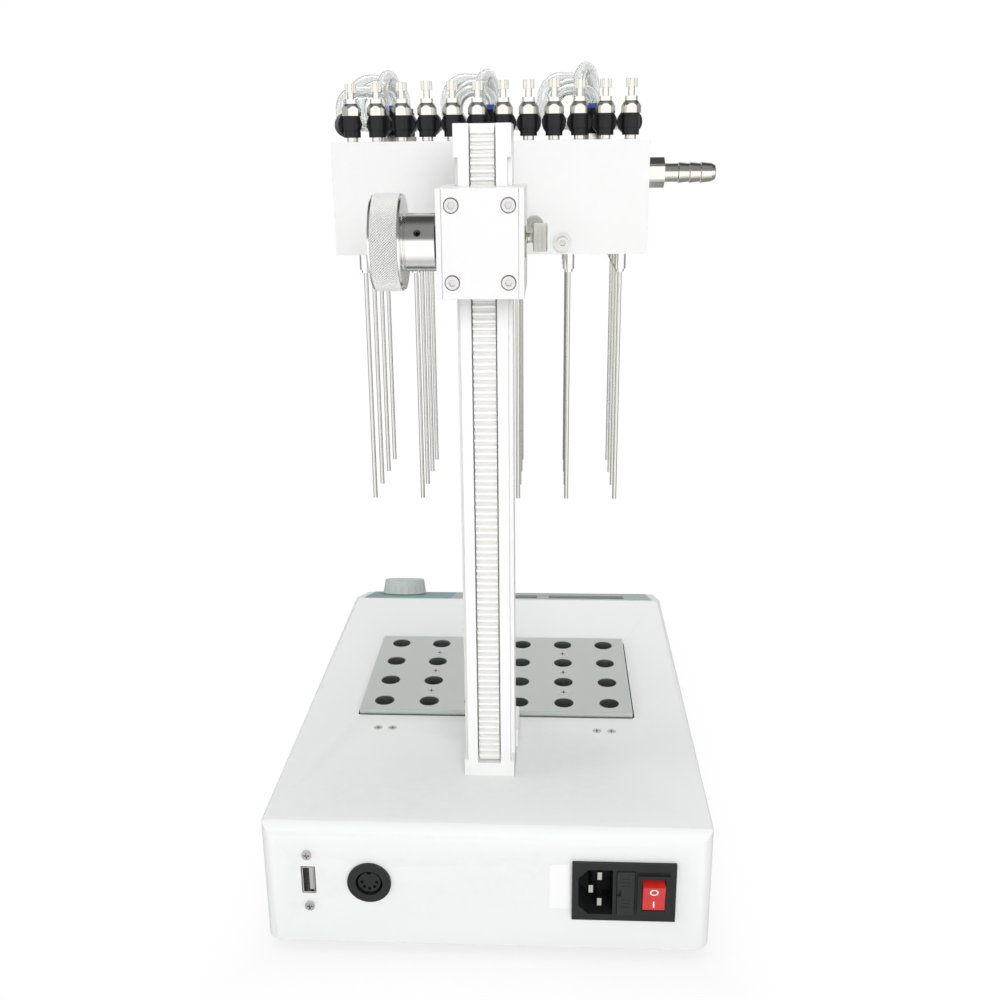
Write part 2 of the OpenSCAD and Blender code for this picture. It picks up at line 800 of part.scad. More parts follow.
module fuse_drawer() {
    notch_w = 3;
    color([0.16, 0.16, 0.17]) on_rear(inlet_at) translate([-drawer_x, 0, 0]) difference() {
        translate([0, 0, inlet_t - drawer_deep]) linear_extrude(drawer_deep + drawer_proud)
            square([drawer_w - 2 * fit_gap, drawer_h - 2 * fit_gap], center = true);
        translate([-drawer_w / 2, -notch_w / 2, inlet_t - 0.8]) cube([2, notch_w, 3]);
        translate([0, 0, inlet_t - drawer_deep - 1]) linear_extrude(drawer_deep - 1.5)
            square([drawer_w - 2.4, drawer_h - 3], center = true);
    }
}

module power_rocker() {
    face = 7.4;
    dip = 0.9;
    pin_d = 2;
    pin_l = 0.8;
    color("firebrick") on_rear(inlet_at) translate([-rocker_x, 0, rocker_pivot]) rotate([rocker_tilt, 0, 0]) {
        rotate([90, 0, 90]) linear_extrude(rocker_w - 0.1, center = true)
            polygon([[-2.5, -4], [2.5, -4], [rocker_h / 2, -0.5], [rocker_h / 2 - 0.9, face],
                [0, face - dip], [-rocker_h / 2 + 0.9, face], [-rocker_h / 2, -0.5]]);
        along_x() cylinder(d = pin_d, h = rocker_w + 2 * pin_l, center = true);
    }
}

module rating_label() {
    color("white") on_rear(label_at) linear_extrude(0.2) square([label_w, label_h], center = true);
}

// ---------- carriage ----------

module at_cover_screws() {
    for (x = [-1, 1], z = [-1, 1])
        translate([x * cover_screw_x, carriage_back, axis_z + z * cover_screw_z]) along_y() children();
}

module carriage_body() {
    slot_w = post_w + 2 * slide_gap;
    low = axis_z - carriage_h / 2;
    color("whitesmoke") difference() {
        union() {
            translate([0, (carriage_front + carriage_back) / 2, low])
                block(carriage_w, carriage_back - carriage_front, carriage_h);
            translate([0, (chamber_d / 2 + carriage_front + 1) / 2, axis_z - arm_h / 2])
                block(arm_w, carriage_front + 1 - chamber_d / 2, arm_h);
        }
        difference() {
            translate([0, post_front - slide_gap + (post_d + 2 * slide_gap) / 2, low - 1])
                block(slot_w, post_d + 2 * slide_gap, carriage_h + 2);
            for (side = [-1, 1])
                translate([side * (post_w / 2 + slide_gap), post_back - step_d / 2 + slide_gap, low - 2])
                    block(2 * step_w, step_d, carriage_h + 4);
        }
        translate([0, (post_back + cover_y) / 2, axis_z - cavity_h / 2])
            block(cavity_w, cover_y - post_back + 0.02, cavity_h);
        translate([0, cover_y + cover_t, low - 1]) block(cover_w, 2 * cover_t, carriage_h + 2);
        on_axis() along_x() cylinder(d = bush_d, h = carriage_w + 2, center = true);
        at_cover_screws() translate([0, 0, -cover_t - 9]) cylinder(d = cover_screw_d, h = 20);
        translate([-carriage_w / 2 - 1, clamp_y, axis_z]) along_x()
            cylinder(d = clamp_d + 2 * turn_gap, h = (carriage_w - post_w) / 2 + 1);
    }
}

module carriage_cover() {
    color("white") difference() {
        translate([0, cover_y + cover_t / 2, axis_z - carriage_h / 2])
            block(cover_w - 0.2, cover_t, carriage_h);
        at_cover_screws() {
            translate([0, 0, -cover_t - 1]) cylinder(d = cover_screw_d, h = 10);
            translate([0, 0, -cover_head_h]) cylinder(d = cover_head_d + 0.8, h = 5);
        }
    }
}

module cover_screws() {
    color("silver") at_cover_screws() translate([0, 0, -cover_head_h])
        cap_screw(cover_screw_d, cover_t + 7 - cover_head_h, cover_head_d, cover_head_h + 0.3);
}

module shaft_bushes() {
    bush_l = (carriage_w - cavity_w) / 2;
    color("goldenrod") on_axis() for (side = [-1, 1]) rotate(side > 0 ? 0 : 180) along_x() {
        translate([0, 0, cavity_w / 2]) sleeve(bush_d, shaft_d + 2 * turn_gap, bush_l + eps);
        translate([0, 0, carriage_w / 2])
            sleeve(flange_d, shaft_d + 2 * turn_gap, side > 0 ? flange_t : flange_t / 2);
    }
}

// One flank of a tooth, from the base circle to the tip, as angle from the tooth's middle
function involute(r, base) = sqrt(pow(r / base, 2) - 1) * 180 / PI - acos(base / r);
module pinion_outline() {
    base = pinion_r * cos(pressure);
    tip = pinion_r + module_mm;
    root = pinion_r - 1.25 * module_mm;
    steps = 5;
    half = 90 / pinion_teeth - mesh_gap / pinion_r * 180 / PI + involute(pinion_r, base);
    radii = [for (i = [0:steps]) base + (tip - base) * i / steps];
    flank = [for (r = radii) [r, half - involute(r, base)]];
    tooth = concat([[root, half]], flank);
    polygon([for (k = [0:pinion_teeth - 1])
        let (mid = (k + 0.5) * 360 / pinion_teeth)
            each concat(
                [for (q = tooth) q[0] * [cos(mid - q[1]), sin(mid - q[1])]],
                [for (i = [len(tooth) - 1:-1:0])
                    tooth[i][0] * [cos(mid + tooth[i][1]), sin(mid + tooth[i][1])]])]);
}

module pinion_shaft() {
    color("slategray") on_axis() {
        rotate([90, 0, 90]) linear_extrude(pinion_w, center = true) rotate(180) pinion_outline();
        translate([-carriage_w / 2, 0, 0]) along_x()
            cylinder(d = shaft_d, h = carriage_w / 2 + hub_x + shaft_in);
    }
}

module handwheel() {
    knurls = 72;
    groove = 0.5;
    rim_x = hub_x + hub_l;
    edge = 0.8;
    color("silver") on_axis() difference() {
        union() {
            translate([hub_x, 0, 0]) along_x() cylinder(d = hub_d, h = hub_l + 1);
            translate([rim_x, 0, 0]) along_x() {
                cylinder(d1 = wheel_d - 2 * edge, d2 = wheel_d - 2 * groove, h = edge);
                translate([0, 0, edge]) knurled(wheel_d, wheel_l - 2 * edge, knurls, groove);
                translate([0, 0, wheel_l - edge])
                    cylinder(d1 = wheel_d - 2 * groove, d2 = wheel_d - 2 * edge, h = edge);
            }
        }
        translate([hub_x - 1, 0, 0]) along_x() cylinder(d = shaft_d, h = shaft_in + 1);
        at_wheel_screw() cylinder(d = wheel_screw_d, h = hub_d);
    }
}

module at_wheel_screw() {
    translate([wheel_screw_x, 0, 0]) rotate([wheel_screw_turn - 90, 0, 0]) children();
}

module wheel_screw() {
    color("dimgray") on_axis() at_wheel_screw() translate([0, 0, shaft_d / 2]) difference() {
        cylinder(d = wheel_screw_d, h = hub_d / 2 - shaft_d / 2 - 1.2);
        translate([0, 0, hub_d / 2 - shaft_d / 2 - 3]) hex(1.5, 3);
    }
}

module clamp_screw() {
    reach = carriage_w / 2 - post_w / 2 - slide_gap;
    color("silver") translate([-carriage_w / 2, clamp_y, axis_z]) rotate([0, -90, 0]) {
        translate([0, 0, -reach]) cylinder(d = clamp_d, h = reach + clamp_stem + 1);
        translate([0, 0, clamp_stem]) knurled(clamp_head_d, clamp_head_l, 32, 0.35);
    }
}

// ---------- chamber ----------

module at_chamber_screws() {
    for (side = [-1, 1], at = chamber_screw_places)
        translate([side * at[0], chamber_d / 2, chamber_z + at[1]]) along_y() children();
}

module chamber_body() {
    color("white") difference() {
        translate([0, 0, chamber_z]) block(chamber_w, chamber_d, chamber_h);
        translate([0, 0, chamber_z - 1])
            block(chamber_w - 2 * wall, chamber_d - 2 * wall, chamber_h - roof_t + 1);
        translate([0, 0, chamber_z - 1])
            block(chamber_w - 2 * wall + 2 * rebate, chamber_d - 2 * wall + 2 * rebate, plate_t + 1);
        at_chamber_screws() translate([0, 0, -chamber_screw_l]) cylinder(d = chamber_screw_d, h = 20);
        translate([chamber_w / 2 - wall - 1, side_y, side_z]) along_x() cylinder(d = thread_d, h = wall + 2);
        translate([-chamber_w / 2 - 1, side_y, side_z]) along_x() cylinder(d = thread_d, h = wall + 2);
        at_valves() translate([0, 0, -thread_l]) cylinder(d = valve_base_d - 1, h = thread_l + 1);
        at_fittings() translate([0, 0, -thread_l]) cylinder(d = thread_hole_d, h = thread_l + 1);
    }
}

module needle_plate() {
    color("whitesmoke") difference() {
        translate([0, 0, chamber_z])
            block(chamber_w - 2 * wall + 2 * rebate, chamber_d - 2 * wall + 2 * rebate, plate_t);
        at_holes() translate([0, 0, chamber_z - 1]) cylinder(d = collar_d, h = plate_t + 2);
    }
}

module chamber_screws() {
    color("silver") at_chamber_screws() translate([0, 0, washer_t])
        cap_screw(chamber_screw_d, chamber_screw_l + washer_t, 5.5, 3);
}

module chamber_washers() color("silver") at_chamber_screws() sleeve(washer_d, chamber_screw_d, washer_t);

module end_plug() {
    ball = (pow(plug_d / 2, 2) + pow(plug_dome, 2)) / (2 * plug_dome);
    color("silver") translate([chamber_w / 2, side_y, side_z]) along_x() difference() {
        union() {
            translate([0, 0, 2 - wall]) cylinder(d = thread_d, h = wall - 2 + eps);
            intersection() {
                translate([0, 0, plug_dome - ball]) sphere(r = ball);
                cylinder(d = plug_d, h = plug_dome + 1);
            }
        }
        translate([-plug_d / 2, -0.6, plug_dome - 1.2]) cube([plug_d, 1.2, 3]);
    }
}

module hose_barb() {
    ridge = 0.55;       // how far the ridges stand out of the stem
    ridge_l = 5;
    tip_r = 2;
    flange_l = 1;
    bore = 5;
    stem = barb_d / 2;
    first = 6.6;        // plain stretch next to the hexagon
    last = barb_len - first - 3 * ridge_l - tip_r;
    teeth = [for (i = [0:2]) each [
        [stem, first + i * (ridge_l + last / 3)], [stem + ridge, first + i * (ridge_l + last / 3) + 0.4],
        [stem, first + i * (ridge_l + last / 3) + ridge_l]]];
    color("silver") translate([-chamber_w / 2, side_y, side_z]) rotate([0, -90, 0]) difference() {
        union() {
            translate([0, 0, 1 - wall]) cylinder(d = thread_d, h = wall - 1 + eps);
            cylinder(d = hex_af, h = flange_l);
            translate([0, 0, flange_l - eps]) intersection() {
                hex(hex_af, hex_l + eps);
                cylinder(d = hex_af * 1.1, h = hex_l + eps);
            }
            translate([0, 0, flange_l + hex_l - eps]) rotate_extrude()
                polygon(concat([[0, 0], [stem, 0]], teeth,
                    [[stem, barb_len - tip_r], [stem - 0.8, barb_len - 0.4], [stem - 1.4, barb_len],
                        [0, barb_len]]));
        }
        translate([0, 0, -wall - 1]) cylinder(d = bore, h = 60);
    }
}

module needle_holders() {
    color("silver") at_holes() {
        translate([0, 0, chamber_z]) sleeve(collar_d, needle_d, plate_t);
        translate([0, 0, chamber_z - holder_l]) sleeve(holder_d, needle_d, holder_l + eps);
        translate([0, 0, chamber_z - holder_l - 1.5]) sleeve(holder_d - 1.6, needle_d, 1.5 + eps);
    }
}

module needles() {
    color("lightsteelblue") at_holes() translate([0, 0, chamber_z - needle_len])
        sleeve(needle_d, needle_bore, needle_len + plate_t - 1);
}

// ---------- valves, fittings and tubes ----------

module valve_cores() {
    af = valve_body_d;
    color("silver") at_valves() difference() {
        union() {
            translate([0, 0, -thread_l]) cylinder(d = valve_base_d - 1, h = thread_l + eps);
            cylinder(d = valve_base_d, h = valve_base_h);
            translate([0, 0, valve_base_h - eps]) cylinder(d = core_d, h = valve_body_h + 2 * eps);
            translate([0, 0, valve_base_h + valve_body_h]) intersection() {
                hex(af, valve_hex_h);
                cylinder(d1 = af * 1.6, d2 = af * 0.82, h = valve_hex_h);
            }
        }
        translate([0, 0, valve_base_h + valve_body_h + valve_hex_h - tap_depth])
            cylinder(d = tap_stem_d + 2 * turn_gap, h = tap_depth + 1);
        translate([0, 0, -thread_l - 1]) cylinder(d = 2, h = thread_l + 4);
    }
}

module valve_bodies() {
    groove = 0.4;
    port_h = port_z - chamber_top;
    color([0.1, 0.1, 0.11]) at_valves() difference() {
        union() {
            translate([0, 0, valve_base_h]) cylinder(d = valve_body_d, h = valve_body_h);
            translate([0, 0, port_h]) rotate([90, 0, 0]) {
                cylinder(d = valve_body_d - 0.8, h = port_back + eps);
                translate([0, 0, port_back]) cylinder(d = port_d, h = port_mouth - port_back);
            }
        }
        translate([0, 0, valve_base_h - 1]) cylinder(d = core_d, h = valve_body_h + 2);
        translate([0, 0, valve_base_h + 2.8]) difference() {
            cylinder(d = valve_body_d + 2, h = 0.6);
            translate([0, 0, -1]) cylinder(d = valve_body_d - 2 * groove, h = 3);
            translate([-port_d, -2 * port_d - port_back + 1, -1]) cube([2 * port_d, 2 * port_d, 3]);
        }
        translate([0, 0, port_h]) rotate([90, 0, 0]) {
            cylinder(d = 2.5, h = port_mouth);
            translate([0, 0, tube_seat]) cylinder(d = tube_d, h = port_mouth);
            translate([0, 0, port_mouth - sleeve_l]) cylinder(d = ring_sleeve_d, h = sleeve_l + 1);
        }
    }
}

module lock_rings() {
    color("silver") at_valves() translate([0, 0, valve_base_h + valve_body_h + valve_hex_h])
        sleeve(lock_d, tap_stem_d + 2 * turn_gap, lock_h);
}

module valve_knob(i) {
    top = valve_base_h + valve_body_h + valve_hex_h;
    color("silver") at_valve(i) translate([0, 0, top + tap_lift[i]]) {
        translate([0, 0, 1 - tap_depth])
            cylinder(d = tap_stem_d, h = tap_depth - 1 + lock_h + tap_stem_h + 0.5);
        translate([0, 0, lock_h + tap_stem_h]) knurled(tap_d, tap_h, 20, 0.2);
    }
}
module valve_knob_01() valve_knob(0);
module valve_knob_02() valve_knob(1);
module valve_knob_03() valve_knob(2);
module valve_knob_04() valve_knob(3);
module valve_knob_05() valve_knob(4);
module valve_knob_06() valve_knob(5);
module valve_knob_07() valve_knob(6);
module valve_knob_08() valve_knob(7);
module valve_knob_09() valve_knob(8);
module valve_knob_10() valve_knob(9);
module valve_knob_11() valve_knob(10);
module valve_knob_12() valve_knob(11);

module fitting_bases() {
    color("silver") at_fittings() difference() {
        union() {
            translate([0, 0, -thread_l]) cylinder(d = thread_hole_d, h = thread_l + eps);
            hex(fit_d, fit_base_h);
        }
        translate([0, 0, -thread_l - 1]) cylinder(d = 2.5, h = 20);
    }
}

module fitting_bodies() {
    color([0.1, 0.1, 0.11]) at_fittings() difference() {
        translate([0, 0, fit_base_h]) cylinder(d = fit_d, h = fit_body_h);
        translate([0, 0, fit_base_h - 1]) cylinder(d = 2.5, h = fit_body_h);
        translate([0, 0, fit_seat]) cylinder(d = tube_d, h = fit_body_h);
        translate([0, 0, fit_base_h + fit_body_h - sleeve_l]) cylinder(d = ring_sleeve_d, h = sleeve_l + 1);
    }
}

module release_ring(d) {
    translate([0, 0, -sleeve_l]) sleeve(ring_sleeve_d, tube_d, sleeve_l + eps);
    sleeve(d, tube_d, ring_t);
}

module release_rings() {
    color("steelblue") {
        at_fittings() translate([0, 0, fit_base_h + fit_body_h]) release_ring(fit_d - 1);
        at_valves() translate([0, -port_mouth, port_z - chamber_top]) rotate([90, 0, 0])
            release_ring(port_d - 0.6);
    }
}

// The routes of the tubes, one group of four valves and four fittings at a time

function valve_point(i, reach) = [
    valve_x(i) + reach * sin(valve_turn(i)), valve_y - reach * cos(valve_turn(i)), port_z];

// Up, over and down into a fitting; seen from above, the way over has the given slope
function short_route(i, tilt, top) =
    let (g = floor(i / 4), to = [group_x[g], fit_y[i % 4]],
        reach = (valve_y - to[1] - tilt * (valve_x(i) - to[0]))
            / (cos(valve_turn(i)) + tilt * sin(valve_turn(i))),
        rise = valve_point(i, reach))
        [valve_point(i, tube_seat), rise, [rise[0], rise[1], top], [to[0], to[1], top],
            [to[0], to[1], tube_end]];

// Back along the chamber beside the fittings, across between them, then up, over and down
function long_route(i, lane, top) =
    let (g = floor(i / 4), step = lane == 0 ? jog[g] : 0, x = valve_x(i) - step,
        over = group_x[g] + rise_x[lane])
        concat([valve_point(i, tube_seat)],
            step > 0 ? [[valve_x(i), jog_y, port_z], [x, jog_y - step * 4 / 3, port_z]] : [],
            [[x, lane_y[lane], port_z], [over, lane_y[lane], port_z], [over, lane_y[lane], top],
                [group_x[g], fit_y[i % 4], top], [group_x[g], fit_y[i % 4], tube_end]]);

module gas_tubes() {
    color([0.8, 0.85, 0.85, 0.6]) for (g = [0:2]) {
        bent_tube(short_route(4 * g, first_tilt[g], arch_low), [0, 7.5, 8, 6.5, 0], tube_d, tube_bore);
        bent_tube(short_route(4 * g + 1, second_tilt[g], g == 2 ? arch_last : arch_high), [0, 5, 10, 11, 0],
            tube_d, tube_bore);
        bent_tube(long_route(4 * g + 2, 0, arch_inner), concat([0], g > 0 ? [6, 6] : [], [6, 8, 11, 10.5, 0]),
            tube_d, tube_bore);
        bent_tube(long_route(4 * g + 3, 1, arch_high), [0, 6, 8, 12, 12, 0], tube_d, tube_bore);
    }
}

housing_cover();
base_plate();
rubber_feet();
foot_screws();
panel_overlay();
display_windows();
knob_encoder();
control_knob();
block_left();
block_right();
block_screws();
heater_plate();
insulation_tray();
circuit_board();
post();
gear_rack();
post_foot();
panel_screws();
usb_socket();
din_socket();
power_inlet();
inlet_pins();
fuse_drawer();
power_rocker();
rating_label();
carriage_body();
carriage_cover();
cover_screws();
shaft_bushes();
pinion_shaft();
handwheel();
wheel_screw();
clamp_screw();
chamber_body();
needle_plate();
chamber_screws();
chamber_washers();
end_plug();
hose_barb();
valve_cores();
valve_bodies();
lock_rings();
valve_knob_01();
valve_knob_02();
valve_knob_03();
valve_knob_04();
valve_knob_05();
valve_knob_06();
valve_knob_07();
valve_knob_08();
valve_knob_09();
valve_knob_10();
valve_knob_11();
valve_knob_12();
fitting_bases();
fitting_bodies();
release_rings();
gas_tubes();
needle_holders();
needles();
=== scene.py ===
"""The looks of a bench evaporator: a heated twin block under a needle chamber.

A handwheel lifts the chamber on a post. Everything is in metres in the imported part's frame: +Z up,
-Y the control panel, +Y the rear with the post.
"""

import math

import bmesh
import bpy
from mathutils import Matrix, Vector


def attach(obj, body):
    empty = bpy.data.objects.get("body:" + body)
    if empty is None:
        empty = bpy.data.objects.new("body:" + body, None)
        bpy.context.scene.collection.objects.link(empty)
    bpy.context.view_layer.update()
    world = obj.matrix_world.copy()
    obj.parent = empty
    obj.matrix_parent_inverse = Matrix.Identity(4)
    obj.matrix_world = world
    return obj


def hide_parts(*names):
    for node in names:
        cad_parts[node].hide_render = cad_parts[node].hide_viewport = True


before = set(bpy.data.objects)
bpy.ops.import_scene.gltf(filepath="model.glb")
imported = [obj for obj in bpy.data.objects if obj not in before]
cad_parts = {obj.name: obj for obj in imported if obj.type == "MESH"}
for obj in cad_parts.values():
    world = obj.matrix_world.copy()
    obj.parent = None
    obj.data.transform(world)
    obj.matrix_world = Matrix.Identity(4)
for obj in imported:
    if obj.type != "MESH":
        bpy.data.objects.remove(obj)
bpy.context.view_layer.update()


# ---------- studio ----------
# A plain white table top in a white room, lit by a large soft lamp behind the photographer, one
# at the side and one overhead. The camera looks down on the rear of the instrument, as in the
# photograph.

class Wire:
    """A node's output that takes part in plain arithmetic: each sign adds its Math node."""

    def __init__(self, tree, socket):
        self.tree, self.socket = tree, socket

    def worked(self, operation, *values):
        return self.tree.out("ShaderNodeMath", {"operation": operation}, dict(enumerate(values)))

    def __add__(self, other):
        return self.worked("ADD", self, other)

    def __sub__(self, other):
        return self.worked("SUBTRACT", self, other)

    def __rsub__(self, other):
        return self.worked("SUBTRACT", other, self)

    def __mul__(self, other):
        return self.worked("MULTIPLY", self, other)

    def __truediv__(self, other):
        return self.worked("DIVIDE", self, other)

    def __pow__(self, other):
        return self.worked("POWER", self, other)

    def __mod__(self, other):
        return self.worked("FLOORED_MODULO", self, other)

    def __gt__(self, other):
        return self.worked("GREATER_THAN", self, other)

    def __abs__(self):
        return self.worked("ABSOLUTE", self)

    def at_least(self, other):
        return self.worked("MAXIMUM", self, other)

    def at_most(self, other):
        return self.worked("MINIMUM", self, other)

    def sine(self):
        return self.worked("SINE", self)

    def cosine(self):
        return self.worked("COSINE", self)

    __radd__ = __add__
    __rmul__ = __mul__


class Tree:
    """A node tree; every node except the arithmetic comes from its one method."""

    def __init__(self, tree):
        self.tree = tree

    def node(self, kind, settings=None, sockets=None):
        made = self.tree.nodes.new(kind)
        for name, value in (settings or {}).items():
            setattr(made, name, value)
        for name, value in (sockets or {}).items():
            if isinstance(value, Wire):
                self.tree.links.new(value.socket, made.inputs[name])
            else:
                made.inputs[name].default_value = value
        return made

    def out(self, kind, settings=None, sockets=None, output=0):
        return Wire(self, self.node(kind, settings, sockets).outputs[output])

    def part(self, vector, index):
        """One of a vector's three numbers."""
        return self.out("ShaderNodeSeparateXYZ", None, {0: vector}, index)

    def ranged(self, value, start, end, first, last, smooth=False):
        """The value's run from start to end, laid on the run from first to last and held there."""
        settings = {"interpolation_type": "SMOOTHSTEP"} if smooth else None
        sockets = {0: value, 1: start, 2: end, 3: first, 4: last}
        return self.out("ShaderNodeMapRange", settings, sockets)

    def mixed(self, factor, first, second):
        """A colour between two colours."""
        first, second = ((*c, 1) if isinstance(c, tuple) else c for c in (first, second))
        return self.out("ShaderNodeMix", {"data_type": "RGBA"}, {0: factor, 6: first, 7: second}, 2)

    def noise(self, at, scale, detail=2.0, stretch=None):
        """Soft random values from 0 to 1, about 1/scale metres across and drawn out by stretch."""
        if stretch:
            at = self.out("ShaderNodeMapping", None, {"Vector": at, "Scale": stretch})
        return self.out("ShaderNodeTexNoise", None,
                        {"Vector": at, "Scale": scale, "Detail": detail})


def turned_camera(place, yaw, pitch, roll):
    """A camera's place and turn: yaw from -Y, pitch down from the level and roll, in degrees."""
    yaw, pitch, roll = (math.radians(a) for a in (yaw, pitch, roll))
    ahead = Vector((math.sin(yaw) * math.cos(pitch), -math.cos(yaw) * math.cos(pitch),
                    -math.sin(pitch)))
    right = ahead.cross(Vector((0, 0, 1))).normalized()
    up = right.cross(ahead)
    side = math.cos(roll) * right + math.sin(roll) * up
    top = math.cos(roll) * up - math.sin(roll) * right
    return Matrix.Translation(place) @ Matrix((side, top, -ahead)).transposed().to_4x4()


scene = bpy.context.scene
camera = bpy.data.objects.new("camera", bpy.data.cameras.new("camera"))
camera.data.lens = 39.96
camera.matrix_world = turned_camera((-0.02855, 0.5915, 0.36476), 3.0487, 17.6029, -0.599)
scene.collection.objects.link(camera)
scene.camera = camera
scene.view_settings.view_transform = "Standard"


def soft_lamp(name, place, target, size, power):
    """A round lamp that metal doesn't mirror."""
    lamp = bpy.data.objects.new(name, bpy.data.lights.new(name, "AREA"))
    lamp.data.shape = "DISK"
    lamp.data.size = size
    lamp.data.energy = power
    lamp.visible_glossy = False
    aim = (Vector(target) - Vector(place)).to_track_quat("-Z", "Y").to_matrix().to_4x4()
    lamp.matrix_world = Matrix.Translation(place) @ aim
    scene.collection.objects.link(lamp)


soft_lamp("lamp_behind_camera", (-0.5, 2.2, 1.3), (0, 0, 0.15), 1.6, 35.5)
soft_lamp("lamp_at_side", (2.0, 0.5, 1.2), (0, 0, 0.2), 1.2, 9)
soft_lamp("lamp_overhead", (0, -0.4, 2.0), (0, 0, 0), 1.8, 18)


def ray_is(tree, kind):
    return tree.out("ShaderNodeLightPath", output=f"Is {kind} Ray")


def seen_plainly(tree):
    """1 for what the camera sees, straight or through the clear tubes."""
    return ray_is(tree, "Camera").at_least(ray_is(tree, "Transmission"))


# The room is plain white to the camera. Metal mirrors a bright low band on the photographer's side
# and a pale far wall; all else gets the light of walls that are duller towards the ceiling.
room = bpy.data.worlds.new("white_room")
room.use_nodes = True
scene.world = room
air = Tree(room.node_tree)
air.tree.nodes.clear()
direction = air.out("ShaderNodeTexCoord", output="Generated")
upward, backward = air.part(direction, 2), air.part(direction, 1)
walls = air.ranged(upward, 0.1, 0.75, 1.0, 0.42, smooth=True)
low_band = air.ranged(upward, 0.1, 0.32, 1.4, 0.3, smooth=True)
near_side = air.ranged(backward, -0.15, 0.4, 0.25, 1.0, smooth=True)
far_wall = air.ranged(backward, -0.85, -0.45, 0.86, 0.0, smooth=True)
wall_light = 0.66
mirror, plain = ray_is(air, "Glossy"), seen_plainly(air)
level = mirror * (near_side * low_band).at_least(far_wall) + (1 - mirror) * walls * wall_light
backdrop = air.out("ShaderNodeBackground", None,
                   {"Color": plain + (1 - plain) * level, "Strength": 1.0})
air.node("ShaderNodeOutputWorld", None, {"Surface": backdrop})

# The table top is white to the camera and keeps the instrument's soft shadow close around it.
# Metal mirrors it bright on the photographer's side and dull under and beyond the instrument.
reach = 4
table_mesh = bpy.data.meshes.new("table_top")
table_mesh.from_pydata([(-reach, -reach, 0), (reach, -reach, 0), (reach, reach, 0),
                        (-reach, reach, 0)], [], [(0, 1, 2, 3)])
table_top = bpy.data.objects.new("table_top", table_mesh)
scene.collection.objects.link(table_top)
table_paint = bpy.data.materials.new("white_table")
table_paint.use_nodes = True
paper = Tree(table_paint.node_tree)
paper.tree.nodes.clear()
spot = paper.out("ShaderNodeTexCoord", output="Object")
half_width, half_length, shadow_reach = 0.09, 0.15, 0.05
beside = (abs(paper.part(spot, 0)) - half_width).at_least(abs(paper.part(spot, 1)) - half_length)
open_floor = paper.ranged(beside, 0.0, shadow_reach, 0.78, 1.0, smooth=True)
beyond = paper.ranged(paper.part(spot, 1), 0.0, 0.5, 0.85, 0.0, smooth=True)
lit = paper.out("ShaderNodeBsdfDiffuse", None, {"Color": (0.8, 0.8, 0.8, 1)})
white = paper.out("ShaderNodeEmission", None, {"Color": (1, 1, 1, 1), "Strength": 1.0})
bright = paper.out("ShaderNodeEmission", None, {"Color": (1, 1, 1, 1), "Strength": 1.4})
dull = paper.out("ShaderNodeEmission", None, {"Color": (0.12, 0.12, 0.11, 1), "Strength": 1.0})
shaded = paper.out("ShaderNodeMixShader", None,
                   {0: seen_plainly(paper) * open_floor, 1: lit, 2: white})
mirrored = paper.out("ShaderNodeMixShader", None, {0: beyond, 1: bright, 2: dull})
table_look = paper.out("ShaderNodeMixShader", None,
                       {0: ray_is(paper, "Glossy"), 1: shaded, 2: mirrored})
paper.node("ShaderNodeOutputMaterial", None, {"Surface": table_look})
table_mesh.materials.append(table_paint)


# ---------- housing cover ----------
# One bent and welded sheet steel cover with a sloping panel at the front, powder coated in a warm
# white with a very fine orange peel; its edges are eased, and it rubs a little thin there.

mm = 0.001


class Finish(Tree):
    """A material made of nodes that reads the part's own coordinates."""

    def __init__(self, name):
        self.material = bpy.data.materials.new(name)
        self.material.use_nodes = True
        super().__init__(self.material.node_tree)
        self.tree.nodes.clear()
        self.place = self.out("ShaderNodeTexCoord", output="Object")

    def axis(self, index):
        return self.part(self.place, index)

    def relief(self, height, depth):
        return self.out("ShaderNodeBump", None, {"Height": height, "Distance": depth})

    def surface(self, colour, roughness, normal=None, **fixed):
        sockets = {"Base Color": (*colour, 1) if isinstance(colour, tuple) else colour,
                   "Roughness": roughness}
        if normal:
            sockets["Normal"] = normal
        for name, value in fixed.items():
            sockets[name.replace("_", " ").title().replace("Ior", "IOR")] = value
        shader = self.out("ShaderNodeBsdfPrincipled", None, sockets)
        self.node("ShaderNodeOutputMaterial", None, {"Surface": shader})
        return self.material


def dimmed(colour, share):
    return tuple(c * share for c in colour)


def powder_coat(name, colour, peel=0.000012):
    """Baked powder: a fine peel, a soft drift in tone, and corners that are rubbed a little."""
    skin = Finish(name)
    drift = skin.noise(skin.place, 14, 3)
    grain = skin.noise(skin.place, 1500, 2)
    corner = skin.ranged(skin.out("ShaderNodeNewGeometry", output="Pointiness"),
                         0.52, 0.6, 0.0, 0.35)
    shade = skin.mixed(drift, dimmed(colour, 0.975), colour)
    rubbed = skin.mixed(corner * skin.noise(skin.place, 260, 3), shade, dimmed(colour, 0.8))
    return skin.surface(rubbed, 0.34 + drift * 0.06 + grain * 0.06, skin.relief(grain, peel),
                        specular_ior_level=0.42)


def own(node):
    """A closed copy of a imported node's mesh, in its place."""
    mesh = bpy.data.meshes.new(node)
    grown = bmesh.new()
    grown.from_mesh(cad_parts[node].data)
    bmesh.ops.remove_doubles(grown, verts=grown.verts, dist=2e-6)
    bmesh.ops.dissolve_limit(grown, angle_limit=math.radians(0.4), verts=grown.verts,
                             edges=grown.edges)
    grown.to_mesh(mesh)
    grown.free()
    return mesh


def plain_mesh(piece):
    """Takes a piece's modifiers into its mesh."""
    shown = piece.evaluated_get(bpy.context.evaluated_depsgraph_get())
    mesh = bpy.data.meshes.new_from_object(shown)
    piece.modifiers.clear()
    piece.data = mesh
    mesh.name = piece.name


